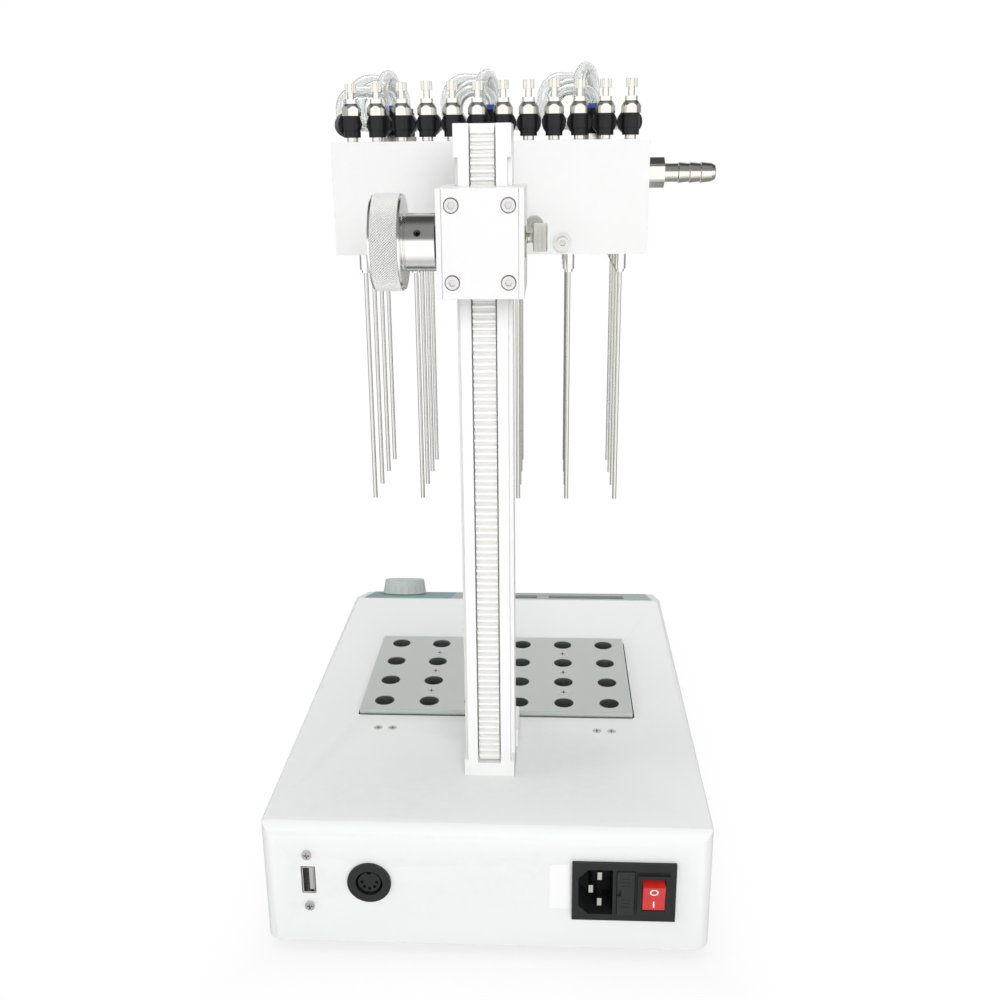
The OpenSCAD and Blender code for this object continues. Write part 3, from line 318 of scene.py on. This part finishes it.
def eased(node, width, material, steps=2):
    """The node's own shape with its sharp edges broken, as deburred and coated metal has them."""
    piece = bpy.data.objects.new(node + "_finished", own(node))
    scene.collection.objects.link(piece)
    ease = piece.modifiers.new("ease", "BEVEL")
    ease.width = width
    ease.segments = steps
    ease.limit_method = "ANGLE"
    ease.angle_limit = math.radians(38)
    smooth = piece.modifiers.new("smooth", "WEIGHTED_NORMAL")
    smooth.weight = 100
    smooth.keep_sharp = True
    piece.data.shade_smooth()
    plain_mesh(piece)
    piece.data.materials.clear()
    piece.data.materials.append(material)
    return piece


def settle(piece, body, slot, *nodes):
    """The piece rides on its body and stands for these nodes, which are hidden; slot is not used."""
    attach(piece, body)
    if nodes:
        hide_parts(*nodes)


def coat(material, *nodes):
    """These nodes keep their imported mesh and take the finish."""
    for node in nodes:
        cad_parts[node].material_slots[0].material = material


case_paint = powder_coat("warm_white_powder_coat", (0.82, 0.845, 0.83))
settle(eased("housing_cover", 0.35 * mm, case_paint), "base", "white_paint", "housing_cover")


# ---------- base plate and feet ----------
# A flat steel plate closes the underside; four turned rubber feet are screwed to it, and their
# soft surface holds dust.

def moulded(name, colour, roughness=0.5, grain=0.00001, size=2200, dust=0.0):
    """Plastic or rubber with a spark-eroded grain and a little dust."""
    skin = Finish(name)
    fine = skin.noise(skin.place, size, 2)
    patch = skin.noise(skin.place, 60, 4)
    dusty = tuple(min(1.0, c * 1.18 + dust) for c in colour)
    gloss = 0.28 if max(colour) < 0.1 else 0.5
    return skin.surface(skin.mixed(patch, colour, dusty), (roughness - 0.06) + patch * 0.12,
                        skin.relief(fine, grain), specular_ior_level=gloss)


coat(powder_coat("black_sheet_coat", (0.03, 0.03, 0.032), 0.00002), "base_plate")
coat(moulded("black_rubber", (0.022, 0.022, 0.022), 0.75, 0.00003, 900, 0.02), "rubber_feet")


# ---------- screws ----------
# Stainless cap screws and countersunk cross-head screws, bright on their heads with fine turning
# marks and painted shade darkening them down in their recesses. They hold the feet, blocks and
# covers, and four with washers sit in the chamber's rear wall.

def bright_metal(name, colour, roughness=0.2, streak=(1, 1, 9)):
    """Plated or polished metal: handling marks in the gloss, hairline scratches and painted shade in
    recesses.
    """
    skin = Finish(name)
    smudge = 0.12
    hand = skin.noise(skin.place, 90, 4)
    hairline = skin.noise(skin.place, 900, 2, streak)
    # Painted shade: where ambient occlusion finds a recess, the colour falls to less than a tenth.
    open_face = skin.out("ShaderNodeAmbientOcclusion", {"samples": 6}, {"Distance": 2.2 * mm}, "AO")
    unshaded_share = skin.ranged(open_face, 0.1, 0.4, 0.0, 1.0)
    tone = skin.mixed(unshaded_share, dimmed(colour, 0.08), skin.mixed(hand, dimmed(colour, 0.93), colour))
    return skin.surface(tone, (roughness - smudge / 2) + hand * smudge,
                        skin.relief(hairline, 0.0000012), metallic=1.0)


screw_steel = bright_metal("bright_screw_steel", (0.66, 0.655, 0.63), 0.24)
coat(screw_steel, "foot_screws", "block_screws", "panel_screws", "cover_screws", "chamber_screws",
     "chamber_washers")


# ---------- control panel ----------
# A printed film on the slope, blue grey round the knob and pale green grey beside it, with two
# glossy dark windows for the figures and a ring of printed marks round the knob.

film = Finish("printed_film")
field_edge = 39 * mm
field = film.ranged(film.axis(0), field_edge - 0.5 * mm, field_edge + 0.5 * mm, 0.0, 1.0)
weave = film.noise(film.place, 1800, 3)
worn_patch = film.noise(film.place, 35, 3)
pale_print = film.mixed(worn_patch, (0.36, 0.43, 0.41), (0.40, 0.47, 0.45))
blue_print = film.mixed(worn_patch, (0.20, 0.31, 0.33), (0.23, 0.34, 0.36))
coat(film.surface(film.mixed(field, pale_print, blue_print), 0.48 + weave * 0.12,
                  film.relief(weave, 0.00001)), "panel_overlay")

window = Finish("dark_window")
smear = window.noise(window.place, 70, 4)
depths = window.noise(window.place, 12, 1) * 0.4
glass_tone = window.mixed(depths, (0.006, 0.008, 0.01), (0.012, 0.016, 0.02))
coat(window.surface(glass_tone, 0.04 + smear * 0.1, window.relief(smear, 0.000004),
                    coat_weight=0.6), "display_windows")
coat(bright_metal("encoder_metal", (0.55, 0.54, 0.5), 0.34), "knob_encoder")
coat(moulded("light_grey_knob", (0.50, 0.535, 0.52), 0.42, 0.000014, 1800), "control_knob")


class Maker(Tree):
    """A geometry tree with named inputs that is run once on a mesh."""

    def __init__(self, name, **inputs):
        super().__init__(bpy.data.node_groups.new(name, "GeometryNodeTree"))
        face = self.tree.interface
        face.new_socket("Geometry", in_out="INPUT", socket_type="NodeSocketGeometry")
        self.key = {}
        for label, kind in {**inputs, "Finish": "Material"}.items():
            socket = face.new_socket(label, in_out="INPUT", socket_type="NodeSocket" + kind)
            self.key[label] = socket.identifier
        face.new_socket("Geometry", in_out="OUTPUT", socket_type="NodeSocketGeometry")
        self.entry = self.node("NodeGroupInput")
        self.base = self.given("Geometry")

    def given(self, label):
        return Wire(self, self.entry.outputs[label])

    def close(self, geometry):
        whole = self.out("GeometryNodeRealizeInstances", None, {"Geometry": geometry})
        done = self.out("GeometryNodeSetMaterial", None,
                        {"Geometry": whole, "Material": self.given("Finish")})
        self.node("NodeGroupOutput", None, {0: done})

    def grow(self, name, mesh, material, **values):
        """The tree's result on this mesh, as a plain piece."""
        piece = bpy.data.objects.new(name, mesh)
        scene.collection.objects.link(piece)
        run = piece.modifiers.new("made", "NODES")
        run.node_group = self.tree
        for label, value in {**values, "Finish": material}.items():
            run[self.key[label]] = value
        plain_mesh(piece)
        return piece


bars_maker = Maker("small_bars", Bar="Vector")
bar = bars_maker.out("GeometryNodeMeshCube", None, {"Size": bars_maker.given("Bar")})
bar_turn = bars_maker.out("GeometryNodeInputNamedAttribute", {"data_type": "FLOAT_VECTOR"},
                          {"Name": "turn"})
bars_maker.close(bars_maker.out(
    "GeometryNodeInstanceOnPoints", None,
    {"Points": bars_maker.base, "Instance": bar, "Rotation": bar_turn}))


def small_bars(name, size, points, material, turns=None):
    """A small flat bar on each point, all of one size in mm, each turned as turns says."""
    mesh = bpy.data.meshes.new(name)
    mesh.from_pydata([tuple(p) for p in points], [], [])
    held = mesh.attributes.new("turn", "FLOAT_VECTOR", "POINT")
    for i, turn in enumerate(turns or [(0, 0, 0)] * len(points)):
        held.data[i].vector = turn
    return bars_maker.grow(name, mesh, material, Bar=tuple(side * mm for side in size))


slope = math.radians(18)
panel_edge = Vector((0, -116, 68)) * mm


def on_slope(x, s, lift):
    """A point on the sloping panel: x across, s down from the deck's edge, lift off the sheet."""
    return panel_edge + Vector((x, -s * math.cos(slope) - lift * math.sin(slope),
                                lift * math.cos(slope) - s * math.sin(slope)))


ink = moulded("dark_print", (0.03, 0.045, 0.05), 0.5)
knob_x, knob_s, film_top, mark_ring = 75.8 * mm, 40 * mm, 0.43 * mm, 17.6 * mm
spots, turns = [], []
for i in range(11):
    a = math.radians(-135 + 27 * i)
    spots.append(on_slope(knob_x + mark_ring * math.sin(a), knob_s - mark_ring * math.cos(a),
                          film_top))
    turns.append(tuple((Matrix.Rotation(slope, 3, "X") @ Matrix.Rotation(-a, 3, "Z")).to_euler()))
settle(small_bars("dial_marks", (0.5, 2, 0.04), spots, ink, turns), "base", "overlay_film")


# ---------- sample blocks ----------
# Two finely milled aluminium blocks with clear anodising, bored for the samples and screwed down
# on the heater; the mouths of the holes and the outer edges are chamfered and catch the light.

alloy = Finish("milled_aluminium")
cutter = alloy.noise(alloy.place, 60, 4, (1, 55, 55))
matt = alloy.noise(alloy.place, 2600, 2)
cloud = alloy.noise(alloy.place, 25, 3)
alloy_tone = alloy.mixed(cloud, (0.72, 0.76, 0.735), (0.78, 0.82, 0.795))
block_metal = alloy.surface(alloy_tone, 0.36 + cutter * 0.1 + matt * 0.05,
                            alloy.relief(cutter * 0.7 + matt * 0.3, 0.000004), metallic=1.0)
for side in ("block_left", "block_right"):
    settle(eased(side, 0.4 * mm, block_metal), "base", "block_alloy", side)


# ---------- heater and electronics ----------
# Inside the housing an orange silicone heater plate lies under the blocks in an insulating tray,
# and one green board with its parts stands on pillars of the base plate.

mat = Finish("heater_mat")
mat_tone = mat.mixed(mat.noise(mat.place, 200, 3), (0.45, 0.2, 0.06), (0.55, 0.27, 0.1))
coat(mat.surface(mat_tone, 0.5), "heater_plate")
coat(moulded("insulation", (0.05, 0.048, 0.044), 0.9, 0.0001, 500, 0.02), "insulation_tray")

board = Finish("circuit_board")
board_top = 14.8 * mm
track = board.out("ShaderNodeTexBrick", {"offset": 0.35},
                  {"Vector": board.place, "Color1": (0.01, 0.09, 0.035, 1),
                   "Color2": (0.012, 0.11, 0.045, 1), "Mortar": (0.03, 0.2, 0.08, 1),
                   "Scale": 160, "Mortar Size": 0.06})
lump = board.noise(board.place, 90, 1) > 0.5
part_tone = board.mixed(lump, (0.02, 0.02, 0.022), (0.42, 0.42, 0.4))
coat(board.surface(board.mixed(board.axis(2) > board_top, track, part_tone),
                   0.35 + board.noise(board.place, 300) * 0.2), "circuit_board")


# ---------- post and rack ----------
# A milled post, coated smooth white, carries a bright steel rack in a channel down its rear; the
# rack's ground teeth have a painted highlight along their tips and painted shade in their roots,
# and a little grease lies on them in patches.

smooth_white = powder_coat("smooth_white_coat", (0.87, 0.873, 0.868), 0.000006)
settle(eased("post", 0.3 * mm, smooth_white), "base", "white_paint", "post")
settle(eased("post_foot", 0.5 * mm, smooth_white), "base", "white_paint", "post_foot")

steel = Finish("rack_steel")
root_y, tip_y = 106.4 * mm, 108.2 * mm
# Painted light: the teeth are paler towards their tips and darker towards their roots, by depth
# alone.
tooth = steel.ranged(steel.axis(1), root_y, tip_y, 0.0, 1.0)
grease = steel.noise(steel.place, 260, 4)
ground = steel.noise(steel.place, 300, 3, (1, 12, 12))
painted_tooth_light = steel.mixed(tooth, (0.88, 0.88, 0.85), (0.95, 0.95, 0.94))
coat(steel.surface(steel.mixed(grease * 0.2, painted_tooth_light, (0.62, 0.6, 0.54)), 0.3 + grease * 0.14,
                   steel.relief(ground, 0.000003), metallic=0.15), "gear_rack")


# ---------- rear sockets ----------
# Bought parts set into cut-outs in the rear sheet: a data socket between two screws, a round
# multi-pole socket, and a mains inlet with its pins, fuse drawer and glossy red rocker, which has
# a faint painted glow.

coat(bright_metal("bright_tin_plate", (0.72, 0.71, 0.68), 0.22), "usb_socket", "inlet_pins")
black = moulded("black_moulded_plastic", (0.017, 0.018, 0.018), 0.36, 0.000008)
coat(black, "din_socket")
settle(eased("power_inlet", 0.45 * mm, black), "base", "black_plastic", "power_inlet")
drawer_black = moulded("black_drawer_plastic", (0.024, 0.025, 0.025), 0.42, 0.000008)
settle(eased("fuse_drawer", 0.25 * mm, drawer_black), "drawer", "black_plastic", "fuse_drawer")

rear_y = 155
inlet_at, usb_at = (-64.1, 37.3), (82.8, 39)


def on_rear(at, x, y, z):
    """A point by a socket, in mm: x to the right as it is seen, y up, z out of the sheet."""
    return Vector((at[0] - x, rear_y + z, at[1] + y)) * mm


rib_points = [on_rear(inlet_at, 0.8, y, 2.62) for y in (-7.5, -5.6, -3.7, 3.7, 5.6, 7.5)]
settle(small_bars("drawer_ribs", (4.2, 0.3, 0.7), rib_points, drawer_black),
       "drawer", "black_plastic")
gilt = bright_metal("gilt_contacts", (0.85, 0.6, 0.25), 0.25)
contact_points = [on_rear(usb_at, 0.27, y, -6.5) for y in (-3.6, -1.2, 1.2, 3.6)]
settle(small_bars("socket_contacts", (0.12, 10, 1.1), contact_points, gilt),
       "base", "socket_metal")

rocker_red = Finish("glossy_red_rocker")
inner = rocker_red.noise(rocker_red.place, 220, 3)
red_tone = rocker_red.mixed(inner, (0.50, 0.014, 0.010), (0.60, 0.03, 0.022))
# Painted glow: the rocker's plastic emits a faint red light, though it holds no lamp.
red = rocker_red.surface(red_tone, 0.12 + inner * 0.06, rocker_red.relief(inner, 0.00001),
                         coat_weight=0.5, emission_color=(0.6, 0.02, 0.015, 1),
                         emission_strength=0.12)
settle(eased("power_rocker", 0.4 * mm, red, steps=3), "switch", "red_plastic", "power_rocker")

rocker_x, rocker_axle_z, rocker_tilt = 13.55, -2.5, math.radians(7)
rocker_rise, rocker_bend = 6.5, math.atan2(0.9, 6.55)


def on_rocker(x, y, lift):
    """A point on the rocker's bent face: x across, y up from its middle, lift off the face."""
    rise = rocker_rise + abs(y) * math.tan(rocker_bend) + lift / math.cos(rocker_bend)
    return on_rear(inlet_at, rocker_x + x,
                   y * math.cos(rocker_tilt) - rise * math.sin(rocker_tilt),
                   rocker_axle_z + y * math.sin(rocker_tilt) + rise * math.cos(rocker_tilt))


def mark_on_rocker(name, outline, hole, hole_lift, material):
    """A thin print between an outline and a hole in it, both lists of (x, y) on the rocker."""
    low, high = -0.05, 0.05
    rings = [(outline, low), (outline, high), (hole, hole_lift), (hole, low)]
    grown = bmesh.new()
    rows = [[grown.verts.new(on_rocker(x, y, lift)) for x, y in ring] for ring, lift in rings]
    count = len(outline)
    for first, second in zip(rows, rows[1:] + rows[:1]):
        for i in range(count):
            j = (i + 1) % count
            grown.faces.new((first[i], first[j], second[j], second[i]))
    bmesh.ops.recalc_face_normals(grown, faces=grown.faces)
    mesh = bpy.data.meshes.new(name)
    grown.to_mesh(mesh)
    grown.free()
    mesh.materials.append(material)
    piece = bpy.data.objects.new(name, mesh)
    scene.collection.objects.link(piece)
    return piece


def oval(half_wide, half_high, middle, count, squareness=1.0):
    """Points round an oval on the rocker's middle line; below 1 it is squarer."""
    points = []
    for i in range(count):
        a = 2 * math.pi * i / count
        points.append((half_wide * math.copysign(abs(math.cos(a)) ** squareness, math.cos(a)),
                       middle + half_high * math.copysign(abs(math.sin(a)) ** squareness,
                                                          math.sin(a))))
    return points


white_ink = moulded("white_print", (0.86, 0.85, 0.84), 0.45)
settle(mark_on_rocker("rocker_ring", oval(2.0, 2.0, 3.5, 36), oval(1.35, 1.35, 3.5, 36), 0.05,
                      white_ink), "switch", "red_plastic")
settle(mark_on_rocker("rocker_bar", oval(0.33, 1.7, -3.6, 24, 0.35),
                      oval(0.02, 0.1, -3.6, 24, 0.35), 0.06, white_ink), "switch", "red_plastic")

label = Finish("blank_label")
fibre = label.noise(label.place, 1200, 3)
label_tone = label.mixed(fibre, (0.86, 0.865, 0.86), (0.90, 0.90, 0.895))
coat(label.surface(label_tone, 0.5 + fibre * 0.1, label.relief(fibre, 0.000006)), "rating_label")


# ---------- carriage ----------
# A block milled from aluminium that grips the post on three sides, closed at the rear by a plate
# with four sunk cap screws; both are coated smooth white like the chamber.

satin_white = powder_coat("satin_white_coat", (0.83, 0.833, 0.828), 0.000005)
for piece in ("carriage_body", "carriage_cover"):
    settle(eased(piece, 0.35 * mm, satin_white), "carriage", "white_alloy", piece)
coat(bright_metal("bearing_metal", (0.62, 0.47, 0.24), 0.3), "shaft_bushes")
coat(bright_metal("shaft_steel", (0.56, 0.55, 0.53), 0.22, (9, 1, 1)), "pinion_shaft")
coat(bright_metal("blackened_steel", (0.12, 0.12, 0.12), 0.3), "wheel_screw")


# ---------- handwheel and clamping screw ----------
# Both are turned from bar and plated: a polished hub with a grub screw, a rim with a cross knurl
# rolled into it, and on the other side of the carriage a small knurled thumb screw.

def lathed(name, outline, centre, way, material, count):
    """A turned piece along X: outline is (x, radius) from the axis to the axis, in mm."""
    mesh = bpy.data.meshes.new(name)
    grown = bmesh.new()
    rows = []
    for x, r in outline:
        points = count if r > 0 else 1
        rows.append([grown.verts.new((centre[0] + way * x * mm,
                                      centre[1] + r * mm * math.cos(2 * math.pi * i / count),
                                      centre[2] + r * mm * math.sin(2 * math.pi * i / count)))
                     for i in range(points)])
    for low, high in zip(rows, rows[1:]):
        for i in range(count):
            j = (i + 1) % count
            corners = [low[i % len(low)], low[j % len(low)],
                       high[j % len(high)], high[i % len(high)]]
            grown.faces.new(dict.fromkeys(corners))
    bmesh.ops.recalc_face_normals(grown, faces=grown.faces)
    grown.to_mesh(mesh)
    grown.free()
    mesh.materials.append(material)
    mesh.shade_smooth()
    piece = bpy.data.objects.new(name, mesh)
    scene.collection.objects.link(piece)
    return piece


def broken_edges(piece):
    """Finely rounded edges on a turned piece, then a plain mesh."""
    ease = piece.modifiers.new("ease", "BEVEL")
    ease.width, ease.segments, ease.limit_method = 0.12 * mm, 2, "ANGLE"
    ease.angle_limit = math.radians(30)
    piece.modifiers.new("smooth", "WEIGHTED_NORMAL").weight = 100
    plain_mesh(piece)


def turned_metal(name, colour, centre, roughness=0.12, knurl_root=0.0, knurl_tip=0.0):
    """Bright turned metal with faint rings round the X axis through centre; a knurl's grooves, from
    its root's radius to its tip's, carry painted shade, darkest at the root."""
    skin = Finish(name)
    aside, high = skin.axis(1) - centre[1], skin.axis(2) - centre[2]
    off_axis = (aside * aside + high * high) ** 0.5
    around = skin.out("ShaderNodeCombineXYZ", None, {0: skin.axis(0), 1: off_axis})
    rings = skin.noise(around, 3500, 3)
    hand = skin.noise(skin.place, 120, 4)
    tone = skin.mixed(hand, dimmed(colour, 0.95), colour)
    if knurl_tip:
        # Painted shade: the colour drops to a third towards the knurl's root radius.
        rolled = skin.ranged(off_axis, knurl_root, knurl_tip, 0.0, 1.0)
        tone = skin.mixed(rolled, dimmed(colour, 0.3), tone)
    return skin.surface(tone, (roughness - 0.03) + hand * 0.08 + rings * 0.05,
                        skin.relief(rings, 0.0000015), metallic=0.3 if knurl_tip else 1.0)


axle = (0.0, 116.7 * mm, 327.3 * mm)
plated = turned_metal("plated_handwheel", (0.80, 0.795, 0.775), axle)
wheel_outline = [(20.5, 0), (20.5, 3.05), (19.0, 3.05), (19.0, 12), (31.2, 12), (31.35, 11.7),
                 (31.9, 11.7), (32.05, 12), (32.5, 12.1), (32.5, 19.4), (33.3, 19.66),
                 (44.7, 19.66), (45.5, 19.4), (45.5, 14.6), (45.1, 14.2), (45.1, 4), (44.6, 3.2),
                 (44.6, 0)]
wheel = lathed("handwheel_turned", wheel_outline, axle, 1, plated, 128)

# The hole for the grub screw, drilled into the hub from the side
grub_x, grub_turn = 26 * mm, math.radians(22)
drill = lathed("grub_hole_cutter", [(3.2, 0), (3.2, 1.5), (14, 1.5), (14, 0)], (0, 0, 0), 1,
               plated, 32)
drill.data.transform(Matrix.Translation((grub_x, axle[1], axle[2]))
                     @ Matrix.Rotation(grub_turn, 4, "X") @ Matrix.Rotation(math.pi / 2, 4, "Z"))
bore = wheel.modifiers.new("bore", "BOOLEAN")
bore.operation, bore.object, bore.solver = "DIFFERENCE", drill, "EXACT"
broken_edges(wheel)
bpy.data.objects.remove(drill)
settle(wheel, "wheel", "wheel_steel", "handwheel")

# A flat net is rolled round the X axis. Two sets of slanted grooves cross in it, and it dips under
# the turned rim at both of its edges
knurl = Maker("cross_knurl", Columns="Int", Rows="Int", Start="Vector", Reach="Float",
              Radius="Float", Depth="Float", Cuts="Float", Cross="Float", Way="Float")
cuts, cross, along, way = (knurl.given(name) for name in ("Cuts", "Cross", "Reach", "Way"))
net = knurl.out("GeometryNodeMeshGrid", None,
                {"Size X": 1.0, "Size Y": 1.0, "Vertices X": knurl.given("Columns"),
                 "Vertices Y": knurl.given("Rows")})
place = knurl.out("GeometryNodeInputPosition")
round_at, along_at = knurl.part(place, 0) + 0.5, knurl.part(place, 1) + 0.5
whole_turns, flank, edge_fade = 1000.0, 0.7, 4000.0
right_hand = abs(((round_at * cuts + along_at * cross) % 1.0) * 2.0 - 1.0)
left_hand = abs(((round_at * cuts - along_at * cross + whole_turns) % 1.0) * 2.0 - 1.0)
bite = ((right_hand.at_least(left_hand) - (1 - flank)) / flank).at_least(0.0)
bite = bite.at_least(1.6 - (along_at.at_most(1.0 - along_at) * along) * edge_fade)
radius = knurl.given("Radius") - knurl.given("Depth") * bite
turn_at = round_at * (2 * math.pi)
ring_spot = knurl.out("ShaderNodeCombineXYZ", None,
                      {0: along_at * along * way, 1: radius * turn_at.cosine(),
                       2: radius * turn_at.sine() * way})
put = knurl.out("ShaderNodeVectorMath", {"operation": "ADD"},
                {0: ring_spot, 1: knurl.given("Start")})
rolled_net = knurl.out("GeometryNodeSetPosition", None, {"Geometry": net, "Position": put})
welded = knurl.out("GeometryNodeMergeByDistance", None, {"Geometry": rolled_net, "Distance": 1e-6})
knurl.close(knurl.out("GeometryNodeSetShadeSmooth", None,
                      {"Geometry": welded, "Shade Smooth": False}))
columns_per_cut = 6

rim_cuts, rim_reach, rim_radius = 112, 11.5, 20.2
rim_cross = round(rim_cuts * rim_reach / (2 * math.pi * rim_radius), 2)
rolled_metal = turned_metal("rolled_knurl", (0.93, 0.93, 0.91), axle, 0.3, 19.76 * mm, 19.95 * mm)
rim = knurl.grow("handwheel_knurl", bpy.data.meshes.new("rim_net"), rolled_metal,
                 Columns=columns_per_cut * rim_cuts + 1, Rows=62,
                 Start=(33.25 * mm, axle[1], axle[2]), Reach=rim_reach * mm,
                 Radius=rim_radius * mm, Depth=0.45 * mm, Cuts=float(rim_cuts), Cross=rim_cross,
                 Way=1.0)
settle(rim, "wheel", "wheel_steel")

clamp_at = (-18 * mm, 95 * mm, 327.3 * mm)
thumb_metal = turned_metal("plated_thumb_screw", (0.74, 0.72, 0.66), clamp_at, 0.2)
thumb_outline = [(-5.4, 0), (-5.4, 2.1), (-5.0, 2.5), (0.4, 2.5), (0.9, 2.2), (2.6, 2.2),
                 (3.0, 3.4), (3.02, 5.6), (3.3, 5.9), (9.0, 5.9), (9.3, 5.6), (9.3, 3.4),
                 (9.0, 3.1), (9.0, 0)]
thumb = lathed("clamp_screw_turned", thumb_outline, clamp_at, -1, thumb_metal, 64)
broken_edges(thumb)
settle(thumb, "clamp", "wheel_steel", "clamp_screw")

thumb_cuts = 52
thumb_knurl = turned_metal("rolled_thumb_knurl", (0.8, 0.785, 0.74), clamp_at, 0.3, 5.95 * mm,
                           6.06 * mm)
thumb_rim = knurl.grow("clamp_knurl", bpy.data.meshes.new("thumb_net"), thumb_knurl,
                       Columns=columns_per_cut * thumb_cuts + 1, Rows=46,
                       Start=(clamp_at[0] - 3.2 * mm, clamp_at[1], clamp_at[2]),
                       Reach=5.9 * mm, Radius=6.2 * mm, Depth=0.26 * mm,
                       Cuts=float(thumb_cuts), Cross=8.0, Way=-1.0)
settle(thumb_rim, "clamp", "wheel_steel")


# ---------- gas chamber ----------
# A milled aluminium box coated satin white, closed below by the needle plate; a domed plug shuts
# one side and a plated hose connector with three ridges stands out of the other.

settle(eased("chamber_body", 0.45 * mm, satin_white), "carriage", "white_alloy", "chamber_body")
settle(eased("needle_plate", 0.3 * mm, satin_white), "carriage", "white_alloy", "needle_plate")
nickel = bright_metal("plated_nickel", (0.76, 0.74, 0.69), 0.15, (1, 1, 6))
coat(nickel, "end_plug", "hose_barb", "fitting_bases")


# ---------- needles ----------
# Stainless tubes of two millimetres, pressed into turned holders under the chamber; drawn tube has
# fine marks along its length and a faint straw tint.

coat(bright_metal("needle_holder_steel", (0.8, 0.79, 0.76), 0.2), "needle_holders")
coat(bright_metal("drawn_needle_steel", (0.66, 0.65, 0.615), 0.12, (14, 14, 1)), "needles")


# ---------- valves ----------
# Twelve bought throttle valves in a row: a black plastic body on a nickel plated core with a
# hexagon, a bright lock ring, and a knurled knob on a turned stem.

valve_black = moulded("black_valve_plastic", (0.012, 0.0125, 0.0125), 0.38, 0.000012)
settle(eased("valve_bodies", 0.25 * mm, valve_black), "carriage", "black_plastic", "valve_bodies")
settle(eased("valve_cores", 0.12 * mm, nickel), "carriage", "nickel", "valve_cores")
coat(bright_metal("bright_lock_ring", (0.86, 0.85, 0.82), 0.2), "lock_rings")
coat(nickel, *[f"valve_knob_{i:02d}" for i in range(1, 13)])


# ---------- push fittings and tubes ----------
# A black push fitting for each tube, with a blue release ring; six millimetre tubes of clear
# plastic, cut by hand, rise out of the valves, arch over and go down into the fittings.

settle(eased("fitting_bodies", 0.4 * mm, valve_black), "carriage", "black_plastic",
       "fitting_bodies")
coat(moulded("blue_release_ring", (0.045, 0.10, 0.42), 0.32, 0.000006), "release_rings")

clear = Finish("clear_tube")
haze = clear.noise(clear.place, 120, 3)
clear_skin = clear.surface(clear.mixed(haze, (0.88, 0.90, 0.885), (0.94, 0.95, 0.94)),
                           0.06 + haze * 0.08, clear.relief(haze, 0.00003),
                           transmission_weight=0.92, ior=1.42)

tube_path = Maker("bent_tubes", Radius="Float")
line = tube_path.out("GeometryNodeMeshToCurve", None, {"Mesh": tube_path.base})
bend_size = tube_path.out("GeometryNodeInputNamedAttribute", {"data_type": "FLOAT"},
                          {"Name": "bend"})
bent = tube_path.out("GeometryNodeFilletCurve", {"mode": "POLY"},
                     {"Curve": line, "Radius": bend_size, "Count": 14})
ring = tube_path.out("GeometryNodeCurvePrimitiveCircle", None,
                     {"Resolution": 28, "Radius": tube_path.given("Radius")})
swept = tube_path.out("GeometryNodeCurveToMesh", None, {"Curve": bent, "Profile Curve": ring})
tube_path.close(tube_path.out("GeometryNodeSetShadeSmooth", None,
                              {"Geometry": swept, "Shade Smooth": True}))

# Heights and rows in mm: the chamber's top, the valves' mouths, the fittings and the arches
top, mouth_z, mouth_y, seat = 368.0, 376.0, 38, 6.0
rows_y, group_x = (8, -5, -29, -40.5), (50, 0, -50)
low_arch, inner_arch, high_arch, last_arch = top + 23.7, top + 28, top + 31, top + 33.5
# How far a valve's mouth lies in front of its fitting for each step to the side, by row and group
slants = ((7 / 24, 237 / 3116, 237 / 3116), (43 / 8, 24 / 7, 117 / 44))


def valve_x(i):
    return 66 - 12 * i


def valve_turn(i):
    """The first valve is turned aside, and the rest point straight to the front."""
    return math.atan2(44, 117) if i == 0 else 0.0


def from_valve(i, reach):
    """A point straight out of valve i's mouth."""
    turn = valve_turn(i)
    return (valve_x(i) + reach * math.sin(turn), mouth_y - reach * math.cos(turn), mouth_z)


def tube_points(i):
    """The corners of tube i's route and the radius of each of its bends, in mm."""
    group, row = divmod(i, 4)
    gx, gy, x = group_x[group], rows_y[row], valve_x(i)
    down = (gx, gy, top + 11)
    if row < 2:
        slant, turn = slants[row][group], valve_turn(i)
        reach = (mouth_y - gy - slant * (x - gx)) / (math.cos(turn) + slant * math.sin(turn))
        rise = from_valve(i, reach)
        arch = low_arch if row == 0 else last_arch if group == 2 else high_arch
        return ([from_valve(i, seat), rise, (*rise[:2], arch), (gx, gy, arch), down],
                [0, 7.5, 8, 6.5, 0] if row == 0 else [0, 5, 10, 11, 0])
    step = (0, 3, 4.5)[group] if row == 2 else 0
    lane, over, arch = ((-14, gx + 20, inner_arch), (-21, gx + 26, high_arch))[row - 2]
    aside = [(x, 19.5, mouth_z), (x - step, 19.5 - step * 4 / 3, mouth_z)] if step else []
    route = [from_valve(i, seat), *aside, (x - step, lane, mouth_z), (over, lane, mouth_z),
             (over, lane, arch), (gx, gy, arch), down]
    radii = [0, *([6, 6] if step else []), *([6, 8, 11, 10.5] if row == 2 else [6, 8, 12, 12]), 0]
    return route, radii


corners, links, bends = [], [], []
for i in range(12):
    route, radii = tube_points(i)
    links += [(len(corners) + j, len(corners) + j + 1) for j in range(len(route) - 1)]
    corners += [tuple(c * mm for c in p) for p in route]
    bends += [r * mm for r in radii]
routes = bpy.data.meshes.new("tube_routes")
routes.from_pydata(corners, links, [])
routes.attributes.new("bend", "FLOAT", "POINT").data.foreach_set("value", bends)
tubes = tube_path.grow("clear_tubes", routes, clear_skin, Radius=3 * mm)
wall = tubes.modifiers.new("wall", "SOLIDIFY")
wall.thickness, wall.offset = 1 * mm, -1
plain_mesh(tubes)
tubes.data.shade_smooth()
settle(tubes, "carriage", "tube_clear", "gas_tubes")
